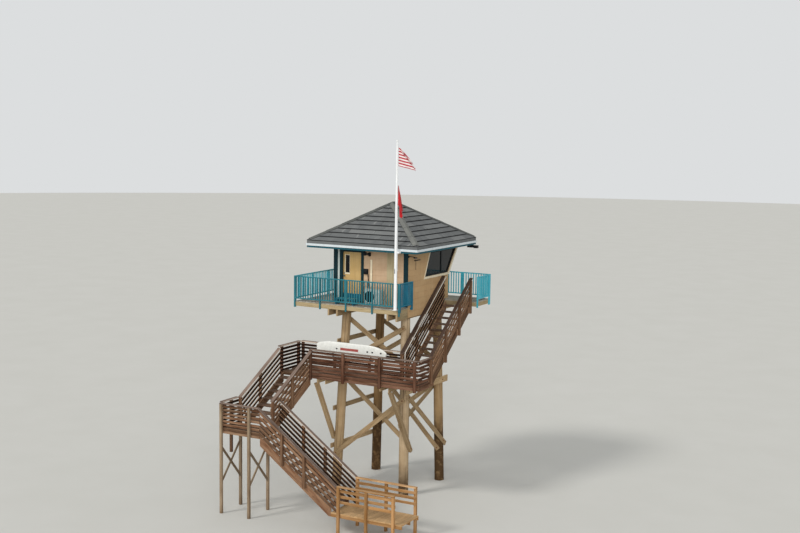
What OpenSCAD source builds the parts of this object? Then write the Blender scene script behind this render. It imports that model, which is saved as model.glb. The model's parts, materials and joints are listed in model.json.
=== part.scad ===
// Beach lifeguard tower: a timber cabin on four piles, reached by three flights of outdoor stairs.
// Millimetres. X runs along the land side, Y runs towards the sea, Z is up. Levels are counted from
// the sand at the stair foot, and the finished part is lifted so that its lowest feet are at Z = 0.

/* [Levels] */
// Top of the cabin deck above the sand
deck_z = 6400; // [6000:20:6800]
// Top of the middle landing above the sand
mid_z = 3870; // [3700:10:4000]
// Top of the small landing above the sand
low_z = 2370; // [2200:10:2500]
// Top of the ground platform above the sand
platform_z = 150; // [120:10:200]
// Height of every guard rail above its floor or above the nosing line
rail_h = 930; // [850:10:1100]

/* [Cabin] */
// Width of the cabin along the land side
cabin_w = 3100; // [2800:50:3400]
// Depth of the cabin at floor level
cabin_d = 3220; // [3000:20:3500]
// Height from the top of the door leaf to the soffit
over_door = 135; // [130:5:400]
// Wall thickness
wall_t = 110; // [90:5:150]
// Height of the window sill above the deck
sill_h = 930; // [850:10:1000]
// How far the sea wall leans out between the sill and the soffit
sea_lean = 800; // [500:50:850]
// Width of the door leaf
door_w = 820; // [760:10:860]
// Height of the door leaf
door_h = 1850; // [1800:10:1870]

/* [Roof] */
// Overhang of the eaves beyond the land and side walls
eave_out = 720; // [650:10:760]
// Overhang of the eave beyond the foot of the sea wall
sea_eave_out = 880; // [860:10:950]
// Rise of the roof from its eave to its peak
roof_rise = 1350; // [1200:50:1600]
// Thickness of the roof slopes, measured straight down
roof_t = 120; // [100:10:160]

/* [Deck] */
// Depth of the balcony in front of the land wall
front_walk = 750; // [700:10:900]
// Width of the walkway on the door side
side_walk = 1180; // [1000:20:1300]
// Depth of the walkway behind the sea wall
sea_walk = 600; // [550:10:700]
// Length of the stair head beyond the cabin, across the stairs
head_w = 1430; // [1300:10:1600]
// Depth of the stair head
head_d = 1090; // [1000:10:1200]
// Distance between two balusters of the painted railings
picket_step = 105; // [90:5:120]

/* [Piles] */
// Fall of the beach from the stair foot to the lowest pile: every leg runs down to that level
sand_fall = 600; // [0:50:800]
// Pile diameter at the head
pile_head_d = 340; // [300:10:380]
// Pile diameter at the sand
pile_foot_d = 370; // [320:10:400]
// Distance between the piles along the land side
pile_gap_x = 2450; // [2300:50:2500]
// Distance between the piles towards the sea
pile_gap_y = 2500; // [2300:50:2600]

/* [Stairs] */
// Clear width of the upper flight
flight_w = 930; // [880:10:1000]
// Risers of the upper flight
upper_risers = 13; // [12:1:14]
// Risers of the middle flight
middle_risers = 8; // [7:1:9]
// Risers of the lower flight
lower_risers = 12; // [11:1:13]
// Depth of the middle landing
mid_d = 1200; // [1100:10:1250]
// Length of the ground platform
platform_l = 2390; // [2200:10:2600]

/* [Hidden] */
$fn = 48;
eps = 1;

// Lumber: thickness and width of planks, side of a square post
plank = 40;
post = 90;
deep_w = 240;
// Guard boards, the cap on top of them, and how far it covers the posts outside
board_t = 35;
cap_w = post + 10 + board_t;
cap_over = post + 10;

// Threshold under the door leaf
door_sill = 15;

// Reference lines of the layout, measured from the working origin
ground_z = -sand_fall;
cabin_x1 = 1050;
cabin_x0 = cabin_x1 - cabin_w;
cabin_y0 = -600;
cabin_y1 = cabin_y0 + cabin_d;
soffit_z = deck_z + door_sill + door_h + over_door;
sill_z = deck_z + sill_h;
lean_run = sea_lean / (soffit_z - sill_z);
deck_x0 = cabin_x0 - side_walk;
deck_x1 = cabin_x1;
deck_y0 = cabin_y0 - front_walk;
deck_y1 = cabin_y1 + sea_walk;
head_x1 = deck_x1 + head_w;
head_y0 = deck_y1 - head_d;

// Deck build-up from the top: boards, joists, twin beams beside the piles
joist_h = 150;
fascia_h = plank + joist_h;
beam_t = 60;
joist_z = deck_z - plank - joist_h;
beam_z = joist_z - deep_w;
notch = 20;
beam_in = pile_head_d / 2 - notch;

// Piles, numbered front left, front right, back left, back right
pile_x1 = cabin_x1 - 30 - beam_t - beam_in;
pile_x0 = pile_x1 - pile_gap_x;
pile_y0 = cabin_y0 + 300;
pile_y1 = pile_y0 + pile_gap_y;
pile_heads = [[pile_x0, pile_y0], [pile_x1, pile_y0], [pile_x0, pile_y1], [pile_x1, pile_y1]];
// How far each pile was driven off plumb, along X, from head to foot
pile_drift = [-380, 0, -110, 200];
brace_dap = 22;
brace_w = 175;
knee_t = 140;

// Stairs
upper_x0 = cabin_x1 + 180;
upper_x1 = upper_x0 + flight_w;
upper_rise = (deck_z - mid_z) / upper_risers;
upper_going = 257;
upper_y1 = head_y0;
upper_y0 = upper_y1 - (upper_risers - 1) * upper_going;
mid_y0 = -1920;
mid_y1 = mid_y0 + mid_d;
mid_x0 = -3400;
mid_x1 = upper_x1 + plank;
middle_x0 = mid_x0 + plank;
middle_x1 = middle_x0 + flight_w + 200;
middle_rise = (mid_z - low_z) / middle_risers;
middle_going = 335;
middle_y0 = mid_y0 - (middle_risers - 1) * middle_going;
low_x0 = -3660;
low_x1 = -2060;
low_y0 = -5260;
low_y1 = middle_y0;
lower_rise = (low_z - platform_z) / lower_risers;
lower_going = 258;
lower_x1 = low_x1 + (lower_risers - 1) * lower_going;
lower_y0 = low_y0 + plank;
lower_y1 = -4140;
platform_x0 = lower_x1 + lower_going + 4;
platform_x1 = platform_x0 + platform_l;
rim_h = 150;

// Eaves
eave_x0 = cabin_x0 - eave_out;
eave_x1 = cabin_x1 + eave_out;
eave_y0 = cabin_y0 - eave_out;
eave_y1 = cabin_y1 + sea_eave_out;
fascia_top = soffit_z + 100;
drip_top = fascia_top + 50;
eave_z = fascia_top + 150;
roof_x = (eave_x0 + eave_x1) / 2;
roof_y = (eave_y0 + eave_y1) / 2;

// Door
door_x1 = cabin_x0 + 1180;
door_x0 = door_x1 - door_w;
door_gap = 8;
jamb = 45;
door_t = 45;
hole_x0 = door_x0 - door_gap - jamb;
hole_x1 = door_x1 + door_gap + jamb;
hole_z1 = deck_z + door_sill + door_h + door_gap + jamb;

// The part's own origin: the middle of its bounding box at the sand
pole_y = deck_y0 - 115;
pole_x = cabin_x1 - 40;
guard_out = board_t + cap_over;
drip_t = 25;
mid_x = (low_x0 - guard_out + platform_x1) / 2;
mid_y = (low_y0 - guard_out + eave_y1 + drip_t) / 2;

// Moves the working origin to the part's own origin
module at_origin() {
    translate([-mid_x, -mid_y, sand_fall]) children();
}

// Box between two corners
module block(a, b) {
    translate(a) cube(b - a);
}

// Outline in the XZ plane, thick towards +Y
module plate_xz(points, y, t) {
    translate([0, y + t, 0]) rotate([90, 0, 0]) linear_extrude(t) polygon(points);
}

// Outline in the YZ plane, thick towards +X
module plate_yz(points, x, t) {
    translate([x, 0, 0]) rotate([90, 0, 90]) linear_extrude(t) polygon(points);
}

// Straight plank on edge between two points, its thickness level and across its run
module strut(a, b, w, t) {
    d = b - a;
    run = norm([d[0], d[1]]);
    translate(a)
        rotate([0, -atan2(d[2], run), atan2(d[1], d[0])])
            translate([0, -t / 2, -w / 2]) cube([norm(d), t, w]);
}

function pile_centre(i, z) =
    let (h = 1 - z / joist_z) [pile_heads[i][0] + pile_drift[i] * h, pile_heads[i][1]];

// One pile as driven, before its notches, cut level at the lowest point of the sand
module pile_round(i) {
    foot = pile_centre(i, ground_z);
    head = pile_heads[i];
    lean = atan2(head[0] - foot[0], joist_z - ground_z);
    intersection() {
        translate([foot[0], foot[1], ground_z]) rotate([0, lean, 0])
            translate([0, 0, -100])
                cylinder(h = joist_z - ground_z + 300, d1 = pile_foot_d, d2 = pile_head_d);
        block([foot[0] - 900, foot[1] - 400, ground_z], [foot[0] + 900, foot[1] + 400, joist_z]);
    }
}

// Twin beams that clasp one row of piles
module twin_beams(x) {
    for (side = [-1, 1])
        block([x + side * (beam_in + beam_t / 2) - beam_t / 2, deck_y0 + 10, beam_z],
              [x + side * (beam_in + beam_t / 2) + beam_t / 2, deck_y1 - 10, joist_z]);
}

// One pile with its head cut flat on both sides, where the twin beams lie
module pile_notched(i) {
    difference() {
        pile_round(i);
        for (side = [-1, 1])
            translate([pile_heads[i][0] + side * (beam_in + 100), pile_heads[i][1], beam_z + 200])
                cube([200, 500, 400], center = true);
    }
}

module tower_piles() {
    color("tan") at_origin()
        for (i = [0:3]) pile_notched(i);
}

// Plank on the land or sea face of two piles: from pile i at height za to pile j at height zb
module face_brace(i, j, za, zb, side, over = 90) {
    a = pile_centre(i, za);
    b = pile_centre(j, zb);
    r = (pile_foot_d + pile_head_d) / 4;
    off = side * (r + plank / 2 - brace_dap);
    p = [a[0], a[1] + off, za];
    q = [b[0], b[1] + off, zb];
    u = (q - p) / norm(q - p);
    strut(p - u * over, q + u * over, brace_w, plank);
}

// Plank on the outer side of a land pile and a sea pile
module side_brace(i, j, za, zb, side, w = brace_w, over = 90, past = 90) {
    a = pile_centre(i, za);
    b = pile_centre(j, zb);
    r = (pile_foot_d + pile_head_d) / 4;
    off = side * (r + plank / 2 - brace_dap);
    p = [a[0] + off, a[1], za];
    q = [b[0] + off, b[1], zb];
    u = (q - p) / norm(q - p);
    strut(p - u * over, q + u * past, w, plank);
}

// Square timber from a land pile out to the front edge of the middle landing, cut level on top
module knee(i, side, foot, over, drift) {
    c = pile_centre(i, foot);
    off = side * ((pile_foot_d + pile_head_d) / 4 + knee_t / 2 - brace_dap);
    p = [c[0] + off, c[1], foot];
    q = [c[0] + off + drift, mid_y0 + 150, knee_top];
    u = (q - p) / norm(q - p);
    strut(p - u * over, q + u * knee_t, knee_t, knee_t);
}

landing_beam_h = 190;
landing_beam_z = mid_z - rim_h - landing_beam_h;
knee_top = landing_beam_z;

// Height that is a share of the way from the sand to the middle landing
function under_mid(share) = mid_z * share;
// Height that is a share of the way from the middle landing to the deck
function over_mid(share) = mid_z + (deck_z - mid_z) * share;

module lower_bracing() {
    color("burlywood") at_origin()
        difference() {
            union() {
                face_brace(0, 1, under_mid(0.168), under_mid(0.762), -1);
                face_brace(0, 1, under_mid(0.899), under_mid(0.349), 1);
                face_brace(2, 3, under_mid(0.904), under_mid(0.176), -1);
                face_brace(2, 3, under_mid(0.31), under_mid(0.853), 1);
                side_brace(1, 3, under_mid(0.791), under_mid(0.245), 1, over = 40, past = 250);
                side_brace(1, 3, under_mid(0.517), under_mid(0.788), -1);
                intersection() {
                    union() {
                        knee(0, -1, under_mid(0.3), 0, 150);
                        knee(1, 1, under_mid(0.31), 150, 0);
                    }
                    block([mid_x0, mid_y0, 0], [mid_x1, pile_y1, knee_top]);
                }
            }
            for (i = [0:3]) pile_round(i);
        }
}

module upper_bracing() {
    color("burlywood") at_origin()
        difference() {
            union() {
                face_brace(0, 1, over_mid(0.74), over_mid(0.09), 1);
                face_brace(0, 1, over_mid(0.07), over_mid(0.68), -1);
                face_brace(2, 3, over_mid(0.585), over_mid(0.01), 1);
                face_brace(2, 3, over_mid(0.05), over_mid(0.655), -1);
            }
            for (i = [0:3]) pile_round(i);
        }
}

// Twin beams under the deck, and the planks on the piles that carry the middle landing
module pile_beams() {
    color("burlywood") at_origin()
        difference() {
            union() {
                twin_beams(pile_x0);
                twin_beams(pile_x1);
                for (i = [0, 1], side = [-1, 1]) {
                    c = pile_centre(i, landing_beam_z + landing_beam_h / 2);
                    r = (pile_foot_d + pile_head_d) / 4;
                    x = c[0] + side * (r - brace_dap);
                    block([min(x, x + side * plank), mid_y0 + 110, landing_beam_z],
                          [max(x, x + side * plank), c[1] + 320, mid_z - rim_h]);
                }
                side_brace(1, 3, under_mid(0.855), under_mid(0.855), 1, deep_w, 200, 400);
                for (z = [under_mid(0.233), under_mid(0.607), over_mid(0.407)])
                    side_brace(0, 2, z, z, -1, over = 250, past = 250);
            }
            for (i = [0:3]) pile_notched(i);
        }
}

module deck_joists() {
    color("burlywood") at_origin() {
        joists = 11;
        y0 = deck_y0 + plank;
        y1 = deck_y1 - plank;
        for (k = [0:joists - 1]) {
            y = y0 + plank / 2 + k * (y1 - y0 - plank) / (joists - 1);
            x1 = y - plank / 2 > head_y0 + plank ? head_x1 - plank : deck_x1 - plank;
            block([deck_x0 + plank, y - plank / 2, joist_z], [x1, y + plank / 2, deck_z - plank]);
        }
    }
}

deck_outline = [
    [deck_x0, deck_y0], [deck_x1, deck_y0], [deck_x1, head_y0], [head_x1, head_y0],
    [head_x1, deck_y1], [deck_x0, deck_y1],
];

module deck_floor() {
    color("silver") at_origin()
        translate([0, 0, deck_z - plank]) linear_extrude(plank) polygon(deck_outline);
}

module deck_fascia() {
    z0 = deck_z - fascia_h;
    z1 = deck_z - plank;
    inner = deck_outline_in();
    color("wheat") at_origin() {
        difference() {
            translate([0, 0, z0]) linear_extrude(z1 - z0) polygon(deck_outline);
            translate([0, 0, z0 - eps]) linear_extrude(z1 - z0 + 2 * eps) polygon(inner);
        }
        block([deck_x1 - 30, deck_y0, z0 - 190], [deck_x1, head_y0, z0]);
    }
}

function deck_outline_in() = [
    [deck_x0 + plank, deck_y0 + plank], [deck_x1 - plank, deck_y0 + plank],
    [deck_x1 - plank, head_y0 + plank], [head_x1 - plank, head_y0 + plank],
    [head_x1 - plank, deck_y1 - plank], [deck_x0 + plank, deck_y1 - plank],
];

// Piece of the land wall between two points along it
module land_wall(x0, x1, z0, z1) {
    block([x0, cabin_y0, z0], [x1, cabin_y0 + wall_t, z1]);
}

module front_wall_left() {
    color("wheat") at_origin() land_wall(cabin_x0, hole_x0, deck_z, soffit_z);
}

module front_wall_right() {
    color("wheat") at_origin() land_wall(hole_x1, cabin_x1, deck_z, soffit_z);
}

module front_wall_over_door() {
    color("wheat") at_origin() land_wall(hole_x0, hole_x1, hole_z1, soffit_z);
}

// Outline of a side wall: straight at the land side, leaning out above the sill at the sea side
side_outline = [
    [cabin_y0 + wall_t, deck_z], [cabin_y1, deck_z], [cabin_y1, sill_z],
    [cabin_y1 + sea_lean, soffit_z], [cabin_y0 + wall_t, soffit_z],
];
// Slanted side window: foot and head of its land edge, and the edge along the leaning corner
win_z0 = sill_z + 40;
win_z1 = soffit_z - 130;
win_corner = 50;
win_foot_y = 680;
win_head_y = 1090;
window_outline = [
    [win_foot_y, win_z0], [cabin_y1 + (win_z0 - sill_z) * lean_run - win_corner, win_z0],
    [cabin_y1 + (win_z1 - sill_z) * lean_run - win_corner, win_z1], [win_head_y, win_z1],
];
mullion_y = 2080;

module side_wall(x) {
    difference() {
        plate_yz(side_outline, x, wall_t);
        plate_yz(window_outline, x - eps, wall_t + 2 * eps);
    }
}

module right_wall() {
    color("wheat") at_origin() side_wall(cabin_x1 - wall_t);
}

module left_wall() {
    color("wheat") at_origin() side_wall(cabin_x0);
}

module sea_wall() {
    color("wheat") at_origin() {
        block([cabin_x0 + wall_t, cabin_y1 - wall_t, deck_z], [cabin_x1 - wall_t, cabin_y1, sill_z]);
    }
}

// Frame of a side window with one upright bar, standing proud of the wall
frame_w = 60;
module side_window_frame(x) {
    difference() {
        plate_yz(window_outline, x, 60);
        intersection() {
            plate_yz(window_outline_in(), x - eps, 60 + 2 * eps);
            union() {
                block([x - 10, 0, win_z0], [x + 80, mullion_y - frame_w / 2, win_z1]);
                block([x - 10, mullion_y + frame_w / 2, win_z0], [x + 80, cabin_y1 + 900, win_z1]);
            }
        }
    }
}

function window_outline_in() =
    let (s = frame_w * lean_run, w = window_outline,
         l = frame_w * (win_head_y - win_foot_y) / (win_z1 - win_z0))
    [
        w[0] + [frame_w + l, frame_w], w[1] + [s - frame_w, frame_w],
        w[2] + [-s - frame_w, -frame_w], w[3] + [frame_w - l, -frame_w],
    ];

// Leaning sea window: a plate between the side walls, from the sill to the soffit
sea_frame_t = 90;
sea_bays = 3;
// Foot and head of the sea panes as shares of the leaning face's length
pane_low = 0.08;
pane_high = 0.88;
pane_w = (cabin_w - 2 * wall_t - frame_w) / sea_bays - frame_w;
function sea_bay(k) = cabin_x0 + wall_t + frame_w + k * (pane_w + frame_w);

module leaning_plate(x0, x1, s0, s1, t0, t1) {
    a = atan2(sea_lean, soffit_z - sill_z);
    len = norm([sea_lean, soffit_z - sill_z]);
    translate([x0, cabin_y1, sill_z]) rotate([-a, 0, 0])
        translate([0, -t1, s0 * len]) cube([x1 - x0, t1 - t0, (s1 - s0) * len]);
}

sea_frame_run = sea_frame_t * norm([1, lean_run]);
sea_frame_outline = [
    [cabin_y1, sill_z], [cabin_y1 + sea_lean, soffit_z],
    [cabin_y1 + sea_lean - sea_frame_run, soffit_z], [cabin_y1 - sea_frame_run, sill_z],
];

module window_frames() {
    color("dimgray") at_origin() {
        side_window_frame(cabin_x1 - wall_t / 2 - 30);
        side_window_frame(cabin_x0 + wall_t / 2 - 30);
        x0 = cabin_x0 + wall_t;
        x1 = cabin_x1 - wall_t;
        difference() {
            plate_yz(sea_frame_outline, x0, x1 - x0);
            for (k = [0:sea_bays - 1])
                leaning_plate(sea_bay(k), sea_bay(k) + pane_w, pane_low, pane_high, -eps, sea_frame_t + eps);
        }
    }
}

module window_glass() {
    color("slategray") at_origin() {
        for (x = [cabin_x1 - wall_t / 2 - 4, cabin_x0 + wall_t / 2 - 4])
            intersection() {
                plate_yz(window_outline_in(), x, 8);
                union() {
                    block([x, 0, win_z0], [x + 8, mullion_y - frame_w / 2, win_z1]);
                    block([x, mullion_y + frame_w / 2, win_z0], [x + 8, cabin_y1 + 900, win_z1]);
                }
            }
        for (k = [0:sea_bays - 1])
            leaning_plate(sea_bay(k), sea_bay(k) + pane_w, pane_low, pane_high, 40, 48);
    }
}

// Cream boards round the windows: on both side walls, and on the leaning sea face over them
trim_t = 20;
casing_end = 55;
casing_foot = 80;
casing_top = soffit_z - 60;
casing_out = 45;
casing_run = casing_out * norm([1, lean_run]);
function casing_outline() =
    let (s = (win_head_y - win_foot_y) / (win_z1 - win_z0), z0 = win_z0 - casing_foot)
    [
        [win_foot_y - casing_end - s * casing_foot, z0], [cabin_y1 + casing_run, z0],
        [cabin_y1 + casing_run, sill_z],
        [cabin_y1 + casing_run + (casing_top - sill_z) * lean_run, casing_top],
        [win_foot_y - casing_end + s * (casing_top - win_z0), casing_top],
    ];

sea_casing_outline = [
    [cabin_y1, win_z0 - casing_foot], [cabin_y1 + casing_run, win_z0 - casing_foot],
    [cabin_y1 + casing_run, sill_z], [cabin_y1 + casing_run + sea_lean, soffit_z],
    [cabin_y1 + sea_lean, soffit_z], [cabin_y1, sill_z],
];

module side_casing(x) {
    difference() {
        plate_yz(casing_outline(), x, trim_t);
        plate_yz(window_outline, x - eps, trim_t + 2 * eps);
    }
}

module window_casings() {
    x0 = cabin_x0 - trim_t;
    x1 = cabin_x1 + trim_t;
    color("wheat") at_origin() {
        side_casing(cabin_x1);
        side_casing(cabin_x0 - trim_t);
        difference() {
            plate_yz(sea_casing_outline, x0, x1 - x0);
            for (k = [0:sea_bays - 1])
                leaning_plate(sea_bay(k), sea_bay(k) + pane_w, pane_low, pane_high, -casing_out - eps, eps);
        }
    }
}

module corner_trim() {
    color("darkslategray") at_origin() {
        block([cabin_x1 - 180, cabin_y0 - trim_t, deck_z], [cabin_x1, cabin_y0, soffit_z]);
        block([cabin_x0, cabin_y0 - trim_t, deck_z], [cabin_x0 + 90, cabin_y0, soffit_z]);
    }
}

// Door frame: jambs and head in the wall, casings outside, a stop behind the leaf's outer face
leaf_y1 = cabin_y0 + wall_t;
leaf_y0 = leaf_y1 - door_t;
casing_w = 100;
module door_frame() {
    top = deck_z + door_sill + door_h + door_gap;
    color("darkslategray") at_origin() {
        difference() {
            union() {
                block([hole_x0, cabin_y0, deck_z], [hole_x1, leaf_y1, hole_z1]);
                block([door_x0 - casing_w, cabin_y0 - trim_t, deck_z],
                      [door_x1 + casing_w, cabin_y0, hole_z1 + 50]);
            }
            block([door_x0 - door_gap, leaf_y0 - door_gap, deck_z - eps],
                  [door_x1 + door_gap, leaf_y1 + eps, top]);
            block([door_x0 + 15, cabin_y0 - 100, deck_z - eps], [door_x1 - 15, leaf_y1, top - 20]);
        }
    }
}

vision_x0 = door_x0 + 105;
vision_w = 170;
vision_h = 640;
vision_z0 = deck_z + door_sill + door_h - 145 - vision_h;
module cabin_door() {
    z0 = deck_z + door_sill;
    color("wheat") at_origin()
        difference() {
            block([door_x0, leaf_y0, z0], [door_x1, leaf_y1, z0 + door_h]);
            block([vision_x0, leaf_y0 - eps, vision_z0],
                  [vision_x0 + vision_w, leaf_y1 + eps, vision_z0 + vision_h]);
        }
}

// Three butt hinges on the room side of the jamb; the leaf turns about their barrels
hinge_r = 8;
hinge_x = door_x1 + 2.5;
hinge_y = leaf_y1 + 7.9;
hinge_h = 90;
module door_hinges() {
    color("gray") at_origin()
        for (z = [deck_z + 200, deck_z + door_h / 2 - 25, deck_z + door_h - 230]) {
            translate([hinge_x, hinge_y, z]) cylinder(h = hinge_h, r = hinge_r);
            block([door_x1 + door_gap, leaf_y1, z], [door_x1 + door_gap + 30, leaf_y1 + 3, z + hinge_h]);
        }
}

module door_glass() {
    color("slategray") at_origin()
        block([vision_x0, leaf_y0 + 18, vision_z0], [vision_x0 + vision_w, leaf_y0 + 26, vision_z0 + vision_h]);
}

// Soffit tray: ceiling board and the upstand that the rafters end on
module eave_soffit() {
    color("teal") at_origin()
        difference() {
            block([eave_x0, eave_y0, soffit_z], [eave_x1, eave_y1, fascia_top]);
            block([eave_x0 + plank, eave_y0 + plank, soffit_z + 20],
                  [eave_x1 - plank, eave_y1 - plank, fascia_top + eps]);
        }
}

module drip_edge() {
    color("white") at_origin()
        difference() {
            block([eave_x0 - drip_t, eave_y0 - drip_t, fascia_top - 30],
                  [eave_x1 + drip_t, eave_y1 + drip_t, drip_top]);
            block([eave_x0, eave_y0, fascia_top - 31], [eave_x1, eave_y1, drip_top + eps]);
        }
}

// Four equal slopes that meet in a short ridge along the longer side: two prisms, crossed
module hip(x0, x1, y0, y1, z0, z1) {
    half = min(x1 - x0, y1 - y0) / 2;
    intersection() {
        plate_xz([[x0, z0], [x1, z0], [x1 - half, z1], [x0 + half, z1]], y0, y1 - y0);
        plate_yz([[y0, z0], [y1, z0], [y1 - half, z1], [y0 + half, z1]], x0, x1 - x0);
    }
}

// Roof shell: the slopes, and an upright rim under them that stands on the soffit's upstand
module roof_shell() {
    peak = eave_z + roof_rise;
    pitch = roof_rise / (min(eave_x1 - eave_x0, eave_y1 - eave_y0) / 2);
    inner_z = eave_z - roof_t + plank * pitch;
    color("dimgray") at_origin()
        difference() {
            union() {
                hip(eave_x0, eave_x1, eave_y0, eave_y1, eave_z, peak);
                block([eave_x0, eave_y0, fascia_top], [eave_x1, eave_y1, eave_z]);
            }
            hip(eave_x0 + plank, eave_x1 - plank, eave_y0 + plank, eave_y1 - plank, inner_z,
                peak - roof_t);
            block([eave_x0 + plank, eave_y0 + plank, fascia_top - eps],
                  [eave_x1 - plank, eave_y1 - plank, inner_z]);
        }
}

// Painted railing along X, drawn from x = 0: posts bolted outside the deck edge, rails, balusters
rail_bar = 40;
picket = 30;
rail_post = 50;
module painted_rail(len, posts, drop = 230) {
    z_low = 85;
    count = floor((len - 2 * rail_post) / picket_step);
    step = (len - rail_post) / (count + 1);
    block([0, 0, rail_h - rail_bar], [len, rail_bar, rail_h]);
    block([0, 0, z_low], [len, rail_bar, z_low + rail_bar]);
    for (k = [0:count])
        translate([rail_post / 2 + (k + 0.5) * step - picket / 2, 5, z_low + rail_bar - eps])
            cube([picket, picket, rail_h - z_low - 2 * rail_bar + 2 * eps]);
    for (k = [0:posts - 1])
        translate([k * (len - rail_post) / (posts - 1), -5, -drop])
            cube([rail_post, rail_post, rail_h + drop - 1]);
}

rail_off = 45;
// The short return beside the stairs stands off the deck edge on spacer blocks
return_gap = 50;
return_l = cabin_y0 + 200 - deck_y0;
module front_railing() {
    color("teal") at_origin()
        translate([deck_x0 - rail_off, deck_y0 - rail_off, deck_z])
            painted_rail(deck_x1 - deck_x0 + 2 * rail_off + return_gap, 5);
}

module return_railing() {
    x = deck_x1 + rail_off + return_gap;
    color("teal") at_origin() {
        translate([x, deck_y0 + 6, deck_z]) rotate([0, 0, 90]) painted_rail(return_l, 2, 100);
        for (y = [deck_y0 + 6, deck_y0 + 6 + return_l - rail_post])
            block([deck_x1, y, deck_z - 95], [deck_x1 + return_gap + eps, y + rail_post, deck_z - 20]);
    }
}

module left_railing() {
    color("teal") at_origin()
        translate([deck_x0 - rail_off, deck_y1 - 1, deck_z]) rotate([0, 0, -90])
            painted_rail(deck_y1 - deck_y0 - 7, 5);
}

module sea_railing() {
    color("teal") at_origin()
        translate([head_x1 + rail_off, deck_y1 + rail_off, deck_z]) rotate([0, 0, 180])
            painted_rail(head_x1 - deck_x0 + 2 * rail_off, 6);
}

module stair_head_railing() {
    color("teal") at_origin()
        translate([head_x1 + rail_off, head_y0, deck_z]) rotate([0, 0, 90])
            painted_rail(deck_y1 - head_y0 - 1, 2);
}

// Flagpole: foot bracket on the deck edge, tapered pole, stand-off to the eave, cap
pole_z0 = deck_z + 20;
pole_z1 = 12300;
pole_r0 = 60;
pole_r1 = 32;
module flagpole() {
    color("white") at_origin()
        union() {
            translate([pole_x, pole_y, pole_z0])
                cylinder(h = pole_z1 - pole_z0, r1 = pole_r0, r2 = pole_r1);
            translate([pole_x, pole_y, pole_z1]) cylinder(h = 30, r = 45);
            block([pole_x - 65, pole_y - 65, deck_z], [pole_x + 65, deck_y0 - rail_off - 6, pole_z0 + eps]);
            block([pole_x - 65, pole_y, deck_z], [pole_x - 20, deck_y0 + 100, pole_z0]);
            block([pole_x - 20, pole_y, soffit_z + 10], [pole_x + 120, eave_y0, soffit_z + 70]);
        }
}

module striped_flag() {
    color("firebrick") at_origin()
        translate([pole_x, pole_y, 0]) rotate([0, 0, 35])
            block([37.3, -25, 11290], [590, 25, 12160]);
}

module red_flag() {
    color("red") at_origin()
        translate([pole_x, pole_y, 0]) rotate([0, 0, 50])
            block([44.8, -25, 9700], [295, 25, 10790]);
}

// Outdoor unit of the air conditioner: width, depth and height of its housing, feet and place
unit_size = [670, 260, 520];
unit_foot = 60;
unit_x0 = door_x1 + 290;
unit_y0 = cabin_y0 - 330;
module ac_condenser() {
    low = [unit_x0, unit_y0, deck_z + unit_foot];
    color("white") at_origin() {
        block(low, low + unit_size);
        for (x = [unit_x0 + unit_foot, unit_x0 + unit_size[0] - 2 * unit_foot])
            block([x, unit_y0, deck_z],
                  [x + unit_foot, unit_y0 + unit_size[1], deck_z + unit_foot + eps]);
    }
}

// Loudspeaker over the door corner, alarm box below it, floodlight at the sea eave, wall lamp, pipe
module wall_fixtures() {
    color("black") at_origin() {
        block([door_x1 + casing_w, cabin_y0 - 160, soffit_z - 260],
              [door_x1 + casing_w + 290, cabin_y0, soffit_z - 100]);
        block([door_x1 + casing_w + 20, cabin_y0 - 110, deck_z + 1080],
              [door_x1 + casing_w + 200, cabin_y0, deck_z + 1280]);
        block([cabin_x1, -400, deck_z + 1740], [cabin_x1 + 150, -250, deck_z + 1780]);
        block([eave_x1 - 280, eave_y1 - 120, soffit_z - 120], [eave_x1 + 115, eave_y1 + 20, soffit_z]);
    }
}

bench_x0 = door_x1 - 690;
bench_l = 760;
module deck_bench() {
    color("teal") at_origin()
        union() {
            block([bench_x0, deck_y0 + 40, deck_z + 190],
                  [bench_x0 + bench_l, deck_y0 + 340, deck_z + 190 + plank]);
            for (x = [bench_x0, bench_x0 + bench_l - plank])
                block([x, deck_y0 + 40, deck_z], [x + plank, deck_y0 + 340, deck_z + 190]);
        }
}

// Rescue board standing on edge: square tail, rounded nose
rescue_l = 2950;
rescue_w = 570;
rescue_t = 120;
function rescue_points() = concat(
    [[0, rescue_w * 0.22], [60, rescue_w * 0.12], [500, 0]],
    [for (k = [0:16]) let (a = -90 + k * 180 / 16)
        [rescue_l - 900 + 900 * cos(a), rescue_w / 2 * (1 + sin(a))]],
    [[500, rescue_w], [60, rescue_w * 0.88], [0, rescue_w * 0.78]]);

rescue_x = mid_x0 + 800;
rescue_y = mid_y1 - 60 - rescue_t;
rescue_z = mid_z + 490;
module rescue_board() {
    color("white") at_origin()
        translate([rescue_x, rescue_y, rescue_z]) plate_xz(rescue_points(), 0, rescue_t);
}

// Angle brackets on the landing's back rail that the rescue board stands in
module board_brackets() {
    color("gray") at_origin()
        for (x = [rescue_x + 700, rescue_x + 2300])
            difference() {
                block([x, rescue_y - 12, rescue_z - 10], [x + 60, mid_y1, rescue_z + 150]);
                block([x - 1, rescue_y - 2, rescue_z], [x + 61, mid_y1 - 10, rescue_z + 151]);
            }
}

// Boards of the guards: number and gap, on the landings and on the flights
guard_boards = 8;
guard_gap = 48;
flight_boards = 5;
flight_gap = 82;

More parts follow.
